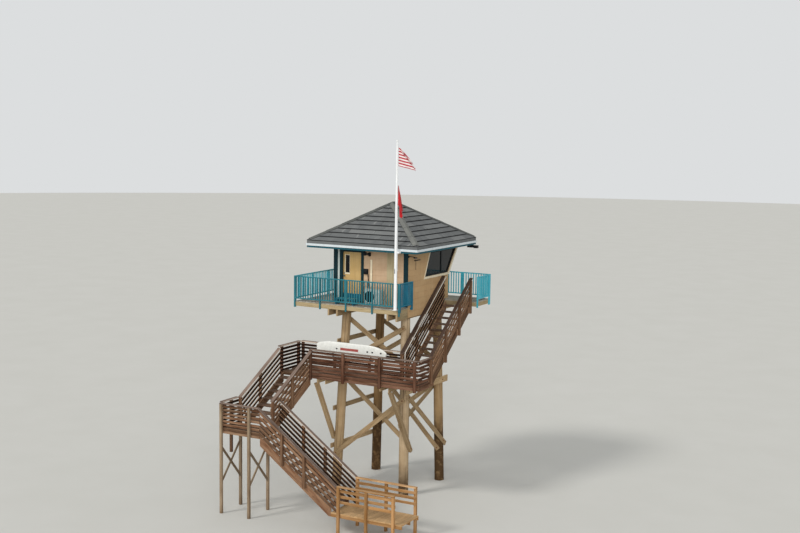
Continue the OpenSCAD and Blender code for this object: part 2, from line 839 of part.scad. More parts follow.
// Boarded guard along X, drawn from x = 0 with its floor rising by rise: posts, boards, cap
module board_rail(len, rise, boards, low, posts, post_low, gap = guard_gap) {
    top = rail_h - plank;
    slope = rise / len;
    pitch = (top - low) / boards;
    for (k = [0:boards - 1]) {
        z = low + k * pitch;
        plate_xz([[0, z], [len, z + rise], [len, z + rise + pitch - gap], [0, z + pitch - gap]], 0,
                 board_t);
    }
    plate_xz([[0, top], [len, top + rise], [len, top + rise + plank], [0, top + plank]], -cap_over,
             cap_w);
    for (x = posts) {
        z = slope * x;
        z1 = min(z, z + slope * post);
        block([x, -post, z + post_low], [x + post, 0, z1 + top + 1]);
    }
}

module mid_landing() {
    z0 = mid_z - rim_h;
    color("saddlebrown") at_origin() {
        block([mid_x0, mid_y0, mid_z - plank], [mid_x1, mid_y1, mid_z]);
        block([mid_x0, mid_y0, z0], [mid_x1, mid_y0 + plank, mid_z - plank + eps]);
        block([mid_x0, mid_y1 - plank, z0], [mid_x1, mid_y1, mid_z - plank + eps]);
        joists = 14;
        for (k = [0:joists - 1]) {
            x = mid_x0 + k * (mid_x1 - mid_x0 - plank) / (joists - 1);
            block([x, mid_y0, z0], [x + plank, mid_y1, mid_z - plank + eps]);
        }
    }
}

module mid_front_rail() {
    x0 = middle_x1 + plank;
    len = mid_x1 - x0;
    color("saddlebrown") at_origin()
        translate([x0, mid_y0 - board_t, mid_z])
            board_rail(len, 0, guard_boards, -rim_h, [0, len * 0.31, len * 0.65, len - post - 50], -rim_h - 40);
}

module mid_back_rail() {
    x1 = upper_x0 - plank - guard_out - 5;
    len = x1 - mid_x0;
    color("saddlebrown") at_origin()
        translate([x1, mid_y1 + board_t, mid_z]) rotate([0, 0, 180])
            board_rail(len, 0, guard_boards, -rim_h, [0, len / 3, len * 2 / 3, len - post], -rim_h);
}

module mid_end_rails() {
    color("saddlebrown") at_origin() {
        translate([mid_x1 + board_t, mid_y0, mid_z]) rotate([0, 0, 90])
            board_rail(upper_y0 - mid_y0 - 200, 0, guard_boards, -rim_h, [], -rim_h);
        translate([mid_x0 - board_t, mid_y1, mid_z]) rotate([0, 0, -90])
            board_rail(mid_d + guard_out, 0, guard_boards, -rim_h, [0, mid_d - post], -rim_h);
    }
}

// Space of a landing, for the notch of what passes beside or stands on it
module landing_box(x0, x1, y0, y1, z, deep) {
    block([x0, y0, z - deep], [x1, y1, z]);
}

// Stringer edges, measured straight down and up from the line through the flight's foot
stringer_low = 210;
stringer_high = 120;

// Stringer along X for a flight that starts at x = 0, z = 0, between two vertical cuts
module stringer(rise, going, x0, x1) {
    s = rise / going;
    plate_xz([[x0, x0 * s - stringer_low], [x1, x1 * s - stringer_low],
              [x1, x1 * s + stringer_high], [x0, x0 * s + stringer_high]], 0, plank);
}

module treads(risers, rise, going, width) {
    for (k = [1:risers - 1])
        translate([(k - 1) * going - 25, 0, k * rise - plank]) cube([going + 15, width, plank]);
}

module upper_place() {
    translate([upper_x1, upper_y0, mid_z]) rotate([0, 0, 90]) children();
}

module middle_place() {
    translate([middle_x1, middle_y0, low_z]) rotate([0, 0, 90]) children();
}

module lower_place() {
    translate([lower_x1, lower_y0, platform_z]) mirror([1, 0, 0]) children();
}

module stair_stringers() {
    color("saddlebrown") at_origin() {
        difference() {
            upper_place() for (y = [-plank, flight_w])
                translate([0, y, 0])
                    stringer(upper_rise, upper_going, 10, upper_y1 - upper_y0);
            landing_box(mid_x0, mid_x1, mid_y0, mid_y1, mid_z, 700);
        }
        middle_place() for (y = [-plank, middle_x1 - middle_x0])
            translate([0, y, 0])
                stringer(middle_rise, middle_going, 0, mid_y0 - middle_y0);
        intersection() {
            lower_place() for (y = [-plank, lower_y1 - lower_y0])
                translate([0, y, 0])
                    stringer(lower_rise, lower_going, 0, lower_x1 - low_x1);
            block([low_x1, low_y0 - plank, 0], [lower_x1, lower_y1 + 100, low_z + 300]);
        }
    }
}

module upper_treads() {
    color("saddlebrown") at_origin() upper_place()
        treads(upper_risers, upper_rise, upper_going, flight_w);
}

module middle_treads() {
    color("saddlebrown") at_origin() middle_place()
        treads(middle_risers, middle_rise, middle_going, middle_x1 - middle_x0);
}

module lower_treads() {
    color("saddlebrown") at_origin() lower_place()
        treads(lower_risers, lower_rise, lower_going, lower_y1 - lower_y0);
}

// Both boarded guards of one flight, in the flight's own frame; they start early before its foot.
// Packing as thick as the boards fills in between each post and the stringer.
module flight_rails(rise, going, width, run, posts, early, post_low) {
    s = rise / going;
    for (side = [0, 1])
        translate([-early, side * width, rise - early * s]) mirror([0, side, 0])
            translate([0, -plank - board_t, 0]) {
                board_rail(run + early, (run + early) * s, flight_boards, 0, posts, post_low,
                           flight_gap);
                for (x = posts)
                    block([x, -eps, x * s + post_low],
                          [x + post, board_t, x * s + stringer_high - rise - 10]);
            }
}

module upper_rails() {
    run = upper_y1 - upper_y0 - 60;
    early = 190;
    color("saddlebrown") at_origin()
        difference() {
            upper_place()
                flight_rails(upper_rise, upper_going, flight_w, run,
                             [0, run * 0.37, run * 0.73, run + early - post], early, -330);
            landing_box(mid_x0, mid_x1, mid_y0, mid_y1, mid_z, 700);
        }
}

module middle_rails() {
    run = mid_y0 - middle_y0 - guard_out - eps;
    color("saddlebrown") at_origin()
        difference() {
            middle_place()
                flight_rails(middle_rise, middle_going, middle_x1 - middle_x0, run,
                             [0, run / 2 + 90], 200, -230);
            landing_box(low_x0, low_x1, low_y0, low_y1, low_z, 700);
        }
}

module lower_rails() {
    run = lower_x1 - low_x1;
    color("saddlebrown") at_origin() lower_place()
        flight_rails(lower_rise, lower_going, lower_y1 - lower_y0, run,
                     [run * 0.43, run * 0.74], lower_going, -210);
}

module small_landing() {
    z0 = low_z - rim_h;
    mid = (low_x0 + low_x1) / 2;
    color("saddlebrown") at_origin() {
        block([low_x0, low_y0, low_z - plank], [low_x1, low_y1, low_z]);
        difference() {
            block([low_x0, low_y0, z0], [low_x1, low_y1, low_z - plank + eps]);
            block([low_x0 + plank, low_y0 + plank, z0 - eps], [mid - plank / 2, low_y1 - plank, low_z - plank]);
            block([mid + plank / 2, low_y0 + plank, z0 - eps], [low_x1 - plank, low_y1 - plank, low_z - plank]);
        }
    }
}

module small_landing_posts() {
    top = low_z + rail_h - plank;
    front = low_y0 - board_t - post;
    brace_lo = low_z * 0.19;
    brace_hi = low_z * 0.74;
    color("saddlebrown") at_origin()
        for (x = [low_x0 - 10, low_x1 - 445])
            union() {
                block([x, front, ground_z], [x + post, front + post, top]);
                block([x, low_y1, ground_z], [x + post, low_y1 + post, low_z - plank]);
                for (z = [brace_lo, brace_hi])
                    strut([x + post / 2, front + post / 2, z],
                          [x + post / 2, low_y1 + post / 2, brace_lo + brace_hi - z], 90, 30);
            }
}

module small_landing_rails() {
    side_l = low_y1 - low_y0;
    color("saddlebrown") at_origin() {
        translate([low_x0, low_y0 - board_t, low_z])
            board_rail(low_x1 - low_x0, 0, guard_boards, -rim_h, [], -rim_h);
        translate([low_x0 - board_t, low_y1, low_z]) rotate([0, 0, -90])
            board_rail(side_l - 80, 0, guard_boards, -rim_h, [side_l * 0.3], -980);
    }
}

module ground_platform() {
    color("peru") at_origin() {
        block([lower_x1, low_y0, platform_z - plank], [platform_x1, lower_y1 + plank, platform_z]);
        for (y = [low_y0, (low_y0 + lower_y1) / 2, lower_y1])
            block([lower_x1, y, 0], [platform_x1, y + plank, platform_z - plank + eps]);
    }
}

module platform_rails() {
    color("peru") at_origin() {
        translate([platform_x0, low_y0, platform_z])
            board_rail(platform_l - 250, 0, 3, 335, [0, platform_l * 0.44, platform_l - 340],
                       ground_z - platform_z, 90);
        translate([platform_x0, lower_y1 + plank, platform_z]) mirror([0, 1, 0])
            board_rail(platform_l - 100, 0, 3, 335, [0, platform_l * 0.46, platform_l - 190],
                       ground_z - platform_z, 90);
    }
}

tower_piles();
lower_bracing();
upper_bracing();
pile_beams();
deck_joists();
deck_floor();
deck_fascia();
front_wall_left();
front_wall_right();
front_wall_over_door();
right_wall();
left_wall();
sea_wall();
window_frames();
window_casings();
window_glass();
corner_trim();
door_frame();
cabin_door();
door_glass();
door_hinges();
eave_soffit();
drip_edge();
roof_shell();
front_railing();
return_railing();
left_railing();
sea_railing();
stair_head_railing();
flagpole();
striped_flag();
red_flag();
ac_condenser();
wall_fixtures();
deck_bench();
rescue_board();
board_brackets();
mid_landing();
mid_front_rail();
mid_back_rail();
mid_end_rails();
stair_stringers();
upper_treads();
middle_treads();
lower_treads();
upper_rails();
middle_rails();
lower_rails();
small_landing();
small_landing_posts();
small_landing_rails();
ground_platform();
platform_rails();
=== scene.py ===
"""Looks of a beach lifeguard tower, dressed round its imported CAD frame.

Sizes are the CAD source's own, in millimetres and in its working frame: X along the land side,
Y towards the sea, Z up from the sand at the stair foot. place() turns them into the frame's metres.
"""
import json
import logging
import math
import random
from dataclasses import dataclass, field
from enum import Enum
from typing import Callable, Sequence

import bmesh
import bpy
import numpy as np
from bpy.types import ID, Material, Mesh, NodeOutputs, NodeSocket, NodeTree, Object
from mathutils import Matrix, Vector, noise

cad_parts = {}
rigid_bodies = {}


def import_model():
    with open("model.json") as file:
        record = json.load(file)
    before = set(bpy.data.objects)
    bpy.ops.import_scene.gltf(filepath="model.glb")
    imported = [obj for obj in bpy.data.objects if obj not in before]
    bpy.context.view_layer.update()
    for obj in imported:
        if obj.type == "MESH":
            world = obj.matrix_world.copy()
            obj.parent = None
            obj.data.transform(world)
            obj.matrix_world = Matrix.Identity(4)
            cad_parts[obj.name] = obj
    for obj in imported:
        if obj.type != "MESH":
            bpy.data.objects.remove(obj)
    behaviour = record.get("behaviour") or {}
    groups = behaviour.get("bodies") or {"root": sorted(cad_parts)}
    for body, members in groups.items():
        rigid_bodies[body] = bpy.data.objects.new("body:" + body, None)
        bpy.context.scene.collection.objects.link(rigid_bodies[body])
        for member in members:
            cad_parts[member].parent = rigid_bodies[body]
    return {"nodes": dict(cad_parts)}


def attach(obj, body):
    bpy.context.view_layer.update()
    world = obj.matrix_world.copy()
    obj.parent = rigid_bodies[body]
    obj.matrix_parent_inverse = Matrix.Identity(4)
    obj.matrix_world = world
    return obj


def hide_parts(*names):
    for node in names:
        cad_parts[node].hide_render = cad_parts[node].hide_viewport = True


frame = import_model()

log = logging.getLogger("tower")
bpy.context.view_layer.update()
GRAVITY = 9.81
Put = Callable[[Vector], Vector]  # moves a point of a part into the working frame
Link = object  # a socket, or a value in its place
Outline = list[tuple[float, float]]


@dataclass
class Plan:
    """Levels and lines of the tower in the working frame, in millimetres."""

    deck_z: float = 6400.0
    mid_z: float = 3870.0
    low_z: float = 2370.0
    platform_z: float = 150.0
    rail_h: float = 930.0
    cabin_w: float = 3100.0
    cabin_d: float = 3220.0
    wall_h: float = 2000.0
    wall_t: float = 110.0
    sill_h: float = 930.0
    door_w: float = 820.0
    door_h: float = 1850.0
    eave_out: float = 720.0
    sea_eave_out: float = 880.0
    roof_rise: float = 1350.0
    front_walk: float = 750.0
    side_walk: float = 1180.0
    sea_walk: float = 600.0
    head_w: float = 1430.0
    head_d: float = 1090.0
    sand_fall: float = 600.0
    pile_head_d: float = 340.0
    pile_foot_d: float = 370.0
    pile_gap_x: float = 2450.0
    pile_gap_y: float = 2500.0
    flight_w: float = 930.0
    upper_risers: int = 13
    middle_risers: int = 8
    lower_risers: int = 12
    mid_d: float = 1200.0
    platform_l: float = 2390.0
    plank: float = 40.0
    post: float = 90.0
    board_t: float = 35.0
    deep_w: float = 240.0
    joist_h: float = 150.0
    beam_t: float = 60.0
    rim_h: float = 150.0
    cabin_x1: float = 1050.0
    cabin_y0: float = -600.0

    def __post_init__(self) -> None:
        """Works out the lines that follow from the sizes, as the CAD source does."""
        self.ground_z = -self.sand_fall
        self.cap_over = self.post + 10
        self.guard_out = self.board_t + self.cap_over
        self.cabin_x0 = self.cabin_x1 - self.cabin_w
        self.cabin_y1 = self.cabin_y0 + self.cabin_d
        self.soffit_z = self.deck_z + self.wall_h
        self.sill_z = self.deck_z + self.sill_h
        self.deck_x0 = self.cabin_x0 - self.side_walk
        self.deck_x1 = self.cabin_x1
        self.deck_y0 = self.cabin_y0 - self.front_walk
        self.deck_y1 = self.cabin_y1 + self.sea_walk
        self.head_x1 = self.deck_x1 + self.head_w
        self.head_y0 = self.deck_y1 - self.head_d
        self.joist_z = self.deck_z - self.plank - self.joist_h
        self.beam_z = self.joist_z - self.deep_w
        self.beam_in = self.pile_head_d / 2 - 20
        self.pile_x1 = self.cabin_x1 - 30 - self.beam_t - self.beam_in
        self.pile_x0 = self.pile_x1 - self.pile_gap_x
        self.pile_y0 = self.cabin_y0 + 300
        self.pile_y1 = self.pile_y0 + self.pile_gap_y
        self.pile_heads = [(self.pile_x0, self.pile_y0), (self.pile_x1, self.pile_y0),
                           (self.pile_x0, self.pile_y1), (self.pile_x1, self.pile_y1)]
        self.pile_drift = [-380.0, 0.0, -110.0, 200.0]
        self.upper_x0 = self.cabin_x1 + 180
        self.upper_x1 = self.upper_x0 + self.flight_w
        self.upper_rise = (self.deck_z - self.mid_z) / self.upper_risers
        self.upper_going = 257.0
        self.upper_y1 = self.head_y0
        self.upper_y0 = self.upper_y1 - (self.upper_risers - 1) * self.upper_going
        self.mid_y0 = -1920.0
        self.mid_y1 = self.mid_y0 + self.mid_d
        self.mid_x0 = -3400.0
        self.mid_x1 = self.upper_x1 + self.plank
        self.middle_x0 = self.mid_x0 + self.plank
        self.middle_x1 = self.middle_x0 + self.flight_w + 200
        self.middle_rise = (self.mid_z - self.low_z) / self.middle_risers
        self.middle_going = 335.0
        self.middle_y0 = self.mid_y0 - (self.middle_risers - 1) * self.middle_going
        self.low_x0 = -3660.0
        self.low_x1 = -2060.0
        self.low_y0 = -5260.0
        self.low_y1 = self.middle_y0
        self.lower_rise = (self.low_z - self.platform_z) / self.lower_risers
        self.lower_going = 258.0
        self.lower_x1 = self.low_x1 + (self.lower_risers - 1) * self.lower_going
        self.lower_y0 = self.low_y0 + self.plank
        self.lower_y1 = -4140.0
        self.platform_x0 = self.lower_x1 + self.lower_going + 4
        self.platform_x1 = self.platform_x0 + self.platform_l
        self.eave_x0 = self.cabin_x0 - self.eave_out
        self.eave_x1 = self.cabin_x1 + self.eave_out
        self.eave_y0 = self.cabin_y0 - self.eave_out
        self.eave_y1 = self.cabin_y1 + self.sea_eave_out
        self.fascia_top = self.soffit_z + 100
        self.eave_z = self.fascia_top + 150
        self.door_x1 = self.cabin_x0 + 1180
        self.door_x0 = self.door_x1 - self.door_w
        self.pole_x = self.cabin_x1 - 40
        self.pole_y = self.deck_y0 - 115
        self.mid_x = (self.low_x0 - self.guard_out + self.platform_x1) / 2
        self.mid_y = (self.low_y0 - self.guard_out + self.eave_y1 + 25) / 2

    def pile_centre(self, i: int, z: float) -> Vector:
        """Centre of pile i at a height; the piles lean along X.

        Args:
            i: the pile's number.
            z: the height.
        Returns:
            The point on its axis.
        """
        h = 1 - z / self.joist_z
        return Vector((self.pile_heads[i][0] + self.pile_drift[i] * h, self.pile_heads[i][1], z))

    def pile_radius(self, z: float) -> float:
        """Radius of every pile at a height."""
        share = (z - self.ground_z) / (self.joist_z - self.ground_z)
        return (self.pile_foot_d + (self.pile_head_d - self.pile_foot_d) * share) / 2


PLAN = Plan()


def place(p: Sequence[float]) -> Vector:
    """Turns a working point in millimetres into the CAD frame's metres."""
    return Vector(((p[0] - PLAN.mid_x) / 1000, (p[1] - PLAN.mid_y) / 1000,
                   (p[2] + PLAN.sand_fall) / 1000))


def as_is(p: Vector) -> Vector:
    """Leaves a working point where it is."""
    return p


def linear(code: str) -> tuple[float, float, float, float]:
    """Turns an sRGB hex colour into linear RGBA.

    Args:
        code: six hex digits with a leading #.
    Returns:
        The four linear channels, alpha 1.
    """
    part = [int(code[i:i + 2], 16) / 255 for i in (1, 3, 5)]
    rgb = [c / 12.92 if c <= 0.04045 else ((c + 0.055) / 1.055) ** 2.4 for c in part]
    return rgb[0], rgb[1], rgb[2], 1.0


def add(tree: NodeTree, kind: str, settings: dict | None = None,
        links: dict | None = None, out: int | str = 0) -> NodeSocket | None:
    """Adds one node to a tree.

    Args:
        tree: the tree that gets it.
        kind: the node's type name.
        settings: values of the node's own settings.
        links: for each input, by name or number, a value or the socket that feeds it.
        out: which of the node's outputs is given, by name or number.
    Returns:
        The output, or None from a node that has none.
    """
    made = tree.nodes.new(kind)
    for key, value in (settings or {}).items():
        setattr(made, key, value)
    for key, value in (links or {}).items():
        into = made.inputs[key] if isinstance(key, int) else next(
            s for s in made.inputs if s.name == key and s.enabled)
        if isinstance(value, NodeSocket):
            tree.links.new(value, into)
        else:
            into.default_value = value
    return made.outputs[out] if made.outputs else None


class Coat:
    """One material in the making: layers of colour, each laid over the ones before it."""

    def __init__(self, name: str, base: str, sheen: float = 0.4) -> None:
        """Starts a material with its ground colour.

        Args:
            name: the material's name.
            base: hex colour of the ground.
            sheen: the shader's specular level.
        """
        self.mat = bpy.data.materials.new(name)
        self.mat.use_nodes = True
        self.tree = self.mat.node_tree
        self.shader = self.tree.nodes["Principled BSDF"]
        self.shader.inputs["Specular IOR Level"].default_value = sheen
        self.colour: Link = linear(base)
        self.uv = add(self.tree, "ShaderNodeUVMap", {"uv_map": "grain"})
        self.where = add(self.tree, "ShaderNodeTexCoord", out="Object")
        self.tone, self.edge = (
            add(self.tree, "ShaderNodeAttribute", {"attribute_name": key}, out="Fac")
            for key in ("tone", "edge"))

    def spots(self, vector: Link, scale: float, detail: float = 3.0, low: float = 0.3,
              high: float = 0.7, stretch: Sequence[float] = ()) -> NodeSocket:
        """Cloudy spots: noise spread over 0 to 1 between two of its levels.

        Args:
            vector: the socket that gives the place.
            scale: spots per metre.
            detail: number of finer layers in the noise.
            low: the level that becomes 0.
            high: the level that becomes 1.
            stretch: how many times closer the spots lie along each axis.
        Returns:
            The socket that gives the spots.
        """
        if stretch:
            vector = add(self.tree, "ShaderNodeMapping", None, {"Vector": vector, "Scale": stretch})
        made = add(self.tree, "ShaderNodeTexNoise", None,
                   {"Vector": vector, "Scale": scale, "Detail": detail, "Roughness": 0.55})
        return add(self.tree, "ShaderNodeMapRange", None,
                   {"Value": made, "From Min": low, "From Max": high})

    def over(self, colour: Link, mask: Link, most: float = 1.0, how: str = "MIX") -> None:
        """Lays a colour over the coat.

        Args:
            colour: a hex colour, or a socket that gives one.
            mask: where it lies, from 0 to 1.
            most: its share where the mask is 1.
            how: the blend of the two.
        """
        share = add(self.tree, "ShaderNodeMath", {"operation": "MULTIPLY"}, {0: mask, 1: most})
        top = linear(colour) if isinstance(colour, str) else colour
        self.colour = add(self.tree, "ShaderNodeMix", {"data_type": "RGBA", "blend_type": how},
                          {0: share, 6: self.colour, 7: top}, out=2)

    def per_part(self, spread: float) -> None:
        """Makes each board or tile a little darker or lighter by its own tone.

        Args:
            spread: how far the darkest one lies under the middle.
        """
        value = add(self.tree, "ShaderNodeMapRange", None,
                    {"Value": self.tone, "To Min": 1 - spread, "To Max": 1 + 0.7 * spread})
        grey = add(self.tree, "ShaderNodeCombineColor", None, {0: value, 1: value, 2: value})
        self.over(grey, 1.0, 1.0, "MULTIPLY")

    def apart(self, vector: Link, way: Sequence[float]) -> NodeSocket:
        """Moves a map by each part's own tone, so that no two parts have the same pattern.

        Args:
            vector: the map.
            way: how far it moves for a tone of 1.
        Returns:
            The moved map.
        """
        away = add(self.tree, "ShaderNodeVectorMath", {"operation": "SCALE"},
                   {0: way, "Scale": self.tone})
        return add(self.tree, "ShaderNodeVectorMath", {"operation": "ADD"}, {0: vector, 1: away})

    def level(self, low: float, high: float) -> NodeSocket:
        """How level a face lies.

        Args:
            low: the Z of its normal that becomes 0.
            high: the Z of its normal that becomes 1.
        Returns:
            The socket that gives it.
        """
        normal = add(self.tree, "ShaderNodeNewGeometry", out="Normal")
        up = add(self.tree, "ShaderNodeSeparateXYZ", None, {0: normal}, out=2)
        return add(self.tree, "ShaderNodeMapRange", None,
                   {"Value": up, "From Min": low, "From Max": high})

    def finish(self, smooth: float, rough: float, by: Link, height: Link,
               depth: float) -> Material:
        """Closes the material.

        Args:
            smooth: roughness where by is 0.
            rough: roughness where by is 1.
            by: mask that drives the roughness.
            height: mask that drives the relief.
            depth: depth of the relief, in metres.
        Returns:
            The material.
        """
        self.tree.links.new(self.colour, self.shader.inputs["Base Color"])
        spread = add(self.tree, "ShaderNodeMapRange", None,
                     {"Value": by, "To Min": smooth, "To Max": rough})
        self.tree.links.new(spread, self.shader.inputs["Roughness"])
        bump = add(self.tree, "ShaderNodeBump", None,
                   {"Height": height, "Distance": depth, "Strength": 0.8})
        self.tree.links.new(bump, self.shader.inputs["Normal"])
        return self.mat


@dataclass(frozen=True)
class WoodFinish:
    """Weathered softwood lumber: rough sawn, with checks along the grain, and faces that look up paled by the
    sun and by a painted highlight.

    The grain runs along the U of the piece's own map, which is in metres, and tone sets each
    board's own shade.
    """

    name: str
    base: str
    dark: str
    pale: str
    bleach_and_top_light: float = 0.45
    wear: float = 0.6
    spread: float = 0.3
    grain_mm: float = 7.0
    damp_z: float = 0.3
    # colour of painted shade on a board's far face
    inner: str = ""
    # colour of a worn edge with a painted highlight on it
    worn_and_highlight: str = ""

    def build(self) -> Material:
        """Makes the material.

        Returns:
            The material.
        """
        coat = Coat(self.name, self.dark, 0.08)
        tree = coat.tree
        spot = coat.apart(coat.uv, (53.1, 17.7, 0.0))
        grain = coat.spots(spot, 1.0, 4.0, 0.36, 0.66, (2.2, 1000 / self.grain_mm, 1.0))
        broad = coat.spots(spot, 1.1, 3.0, 0.34, 0.66, (1.0, 7.0, 1.0))
        split = coat.spots(spot, 1.6, 2.0, 0.66, 0.72, (0.9, 26.0, 1.0))
        cell = add(tree, "ShaderNodeTexVoronoi", None, {"Vector": spot, "Scale": 3.1}, out="Distance")
        knots = add(tree, "ShaderNodeMapRange", None, {"Value": cell, "From Min": 0.09, "From Max": 0.04})
        coat.over(self.base, grain)
        coat.over(self.pale, broad, self.spread)
        coat.per_part(self.spread)
        # faces that look up: sun bleaching, with a painted highlight from above
        coat.over(self.pale, coat.level(0.5, 0.95), self.bleach_and_top_light)
        worn = add(tree, "ShaderNodeMath", {"operation": "MULTIPLY"}, {0: coat.edge, 1: broad})
        coat.over(self.pale, worn, self.wear)
        marks = add(tree, "ShaderNodeMath", {"operation": "MAXIMUM"}, {0: split, 1: knots})
        coat.over(self.dark, marks, 0.65)
        # The faces that their edge value marks: painted shade under 0, wear with a painted highlight over 1
        for paint, low, high, most in ((self.inner, -0.2, -0.9, 0.92), (self.worn_and_highlight, 1.2, 1.9, 0.85)):
            if paint:
                on_side = add(tree, "ShaderNodeMapRange", None,
                              {"Value": coat.edge, "From Min": low, "From Max": high})
                coat.over(paint, on_side, most)
        height = add(tree, "ShaderNodeSeparateXYZ", None, {0: coat.where}, out=2)
        foot = add(tree, "ShaderNodeMapRange", None,
                   {"Value": height, "From Min": self.damp_z, "From Max": 0.0})
        damp = add(tree, "ShaderNodeMath", {"operation": "MULTIPLY"},
                   {0: foot, 1: coat.spots(coat.where, 6.0, 3.0, 0.3, 0.6)})
        coat.over(self.dark, damp, 0.55)
        relief = add(tree, "ShaderNodeMath", {"operation": "SUBTRACT"}, {0: grain, 1: marks})
        return coat.finish(0.78, 0.92, broad, relief, 0.0015)


@dataclass(frozen=True)
class PileFinish:
    """Round piles of treated pine, weathered for years: grey and checked towards the sun, stained
    dark where the spray reaches, the back piles darker all over. Point attributes say how grey,
    dark and cracked each spot is."""

    name: str
    base: str
    grey: str
    dark: str
    wet: str
    streak: str

    def build(self) -> Material:
        """Makes the material.

        Returns:
            The material.
        """
        coat = Coat(self.name, self.base, 0.25)
        tree = coat.tree
        given = {key: add(tree, "ShaderNodeAttribute", {"attribute_name": key}, out="Fac")
                 for key in ("grey", "dark", "wet", "crack")}
        grain = coat.spots(coat.uv, 1.0, 4.0, 0.34, 0.66, (1.0, 70.0, 1.0))
        broad = coat.spots(coat.uv, 1.3, 3.0, 0.35, 0.65, (0.5, 9.0, 1.0))
        cloud = coat.spots(coat.where, 2.2, 4.0, 0.35, 0.68)
        coat.over(self.grey, given["grey"])
        coat.over(self.streak, grain, 0.42)
        coat.over(self.grey, broad, 0.35)
        coat.over(self.dark, cloud, 0.3)
        coat.over(self.dark, given["dark"], 0.9)
        coat.over(self.streak, broad, 0.2)
        wet = add(tree, "ShaderNodeMath", {"operation": "MULTIPLY"},
                  {0: given["wet"], 1: coat.spots(coat.where, 5.0, 4.0, 0.2, 0.5)})
        coat.over(self.wet, wet, 0.95)
        coat.over(self.wet, given["crack"], 0.85)
        return coat.finish(0.75, 0.92, cloud, grain, 0.002)


@dataclass(frozen=True)
class TileFinish:
    """Moulded composite roof panels with a grey stone face: each panel its own grey, a gritty face
    and a dark butt edge, where the shadow of the course lies."""

    name: str
    base: str
    pale: str
    dark: str
    butt: str
    course: float = 0.2845

    def build(self) -> Material:
        """Makes the material.

        Returns:
            The material.
        """
        coat = Coat(self.name, self.base, 0.3)
        tree = coat.tree
        grooves = coat.spots(coat.uv, 1.0, 3.0, 0.35, 0.65, (60.0, 2.5, 1.0))
        grit = coat.spots(coat.where, 240.0, 2.0, 0.3, 0.7)
        cloud = coat.spots(coat.where, 2.6, 5.0, 0.35, 0.68)
        high = add(tree, "ShaderNodeMapRange", None,
                   {"Value": coat.tone, "From Min": 0.86, "From Max": 0.95})
        coat.over(self.dark, grooves, 0.25)
        coat.over(self.pale, cloud, 0.35)
        coat.per_part(0.10)
        coat.over(self.pale, high, 0.4)
        slant = add(tree, "ShaderNodeMapping", None,
                    {"Vector": coat.uv, "Rotation": (0.0, 0.0, 0.6), "Scale": (7.0, 2.2, 1.0)})
        spot = coat.apart(slant, (31.7, 12.9, 0.0))
        coat.over(self.pale, coat.spots(spot, 1.0, 1.0, 0.66, 0.71), 0.75)
        coat.over(self.dark, grit, 0.15)
        # painted shadow: the butt faces, and a strip of face just under the course above
        up = add(tree, "ShaderNodeSeparateXYZ", None, {0: coat.uv}, out=1)
        joint = add(tree, "ShaderNodeMapRange", None,
                    {"Value": up, "From Min": self.course - 0.040, "From Max": self.course - 0.012})
        coat.over(self.butt, joint, 0.85)
        coat.over(self.butt, coat.edge, 0.95)
        return coat.finish(0.7, 0.9, cloud, grooves, 0.002)


@dataclass(frozen=True)
class PaintFinish:
    """Brushed outdoor paint, chalked by sun and salt, with dirty runs down the face; if asked, painted shadow
    under lap butts and a painted highlight on faces that look up.
    """

    name: str
    base: str
    chalk: str
    dirt_and_shade: str
    rough: float = 0.55
    dirty: float = 0.35
    chalky: float = 0.5
    rust: str = ""
    spread: float = 0.0
    shadow: float = 0.0
    # colour of a painted highlight on faces that look up
    top: str = ""
    gloss: float = 0.4

    def build(self) -> Material:
        """Makes the material.

        Returns:
            The material.
        """
        coat = Coat(self.name, self.base, self.gloss)
        cloud = coat.spots(coat.where, 3.0, 5.0, 0.35, 0.68)
        runs = coat.spots(coat.where, 1.0, 4.0, 0.5, 0.78, (14.0, 14.0, 1.3))
        grit = coat.spots(coat.where, 160.0, 2.0, 0.3, 0.7)
        coat.over(self.chalk, cloud, self.chalky)
        if self.spread:
            coat.per_part(self.spread)
        coat.over(self.dirt_and_shade, runs, self.dirty)
        # painted shadow under each lap board's butt, in the same dark colour as the runs
        if self.shadow:
            coat.over(self.dirt_and_shade, coat.edge, self.shadow)
        # painted highlight on faces that look up
        if self.top:
            coat.over(self.top, coat.level(0.4, 0.9), 0.85)
        if self.rust:
            coat.over(self.rust, coat.spots(coat.where, 26.0, 4.0, 0.70, 0.74), 0.8)
        return coat.finish(self.rough - 0.1, self.rough + 0.15, cloud, grit, 0.0003)


@dataclass(frozen=True)
class MetalFinish:
    """Bare or galvanised metal with a fine dull grain, stained where water sits."""

    name: str
    base: str
    worn: str
    rough: float = 0.4

    def build(self) -> Material:
        """Makes the material.

        Returns:
            The material.
        """
        coat = Coat(self.name, self.base, 0.5)
        coat.shader.inputs["Metallic"].default_value = 1.0
        cloud = coat.spots(coat.where, 18.0, 4.0, 0.35, 0.7)
        coat.over(self.worn, cloud)
        return coat.finish(self.rough - 0.08, self.rough + 0.15, cloud, cloud, 0.0002)


@dataclass(frozen=True)
class MouldedFinish:
    """Moulded plastic: an even colour with a fine pebbled skin, dulled by the sun."""

    name: str
    base: str
    faded: str
    rough: float = 0.45
    grain_mm: float = 3.0
    gloss: float = 0.5

    def build(self) -> Material:
        """Makes the material.

        Returns:
            The material.
        """
        coat = Coat(self.name, self.base, self.gloss)
        cloud = coat.spots(coat.where, 7.0, 4.0, 0.35, 0.68)
        coat.over(self.faded, cloud, 0.6)
        pebbles = coat.spots(coat.where, 1000 / self.grain_mm, 2.0, 0.35, 0.65)
        return coat.finish(self.rough - 0.08, self.rough + 0.12, cloud, pebbles, 0.00025)


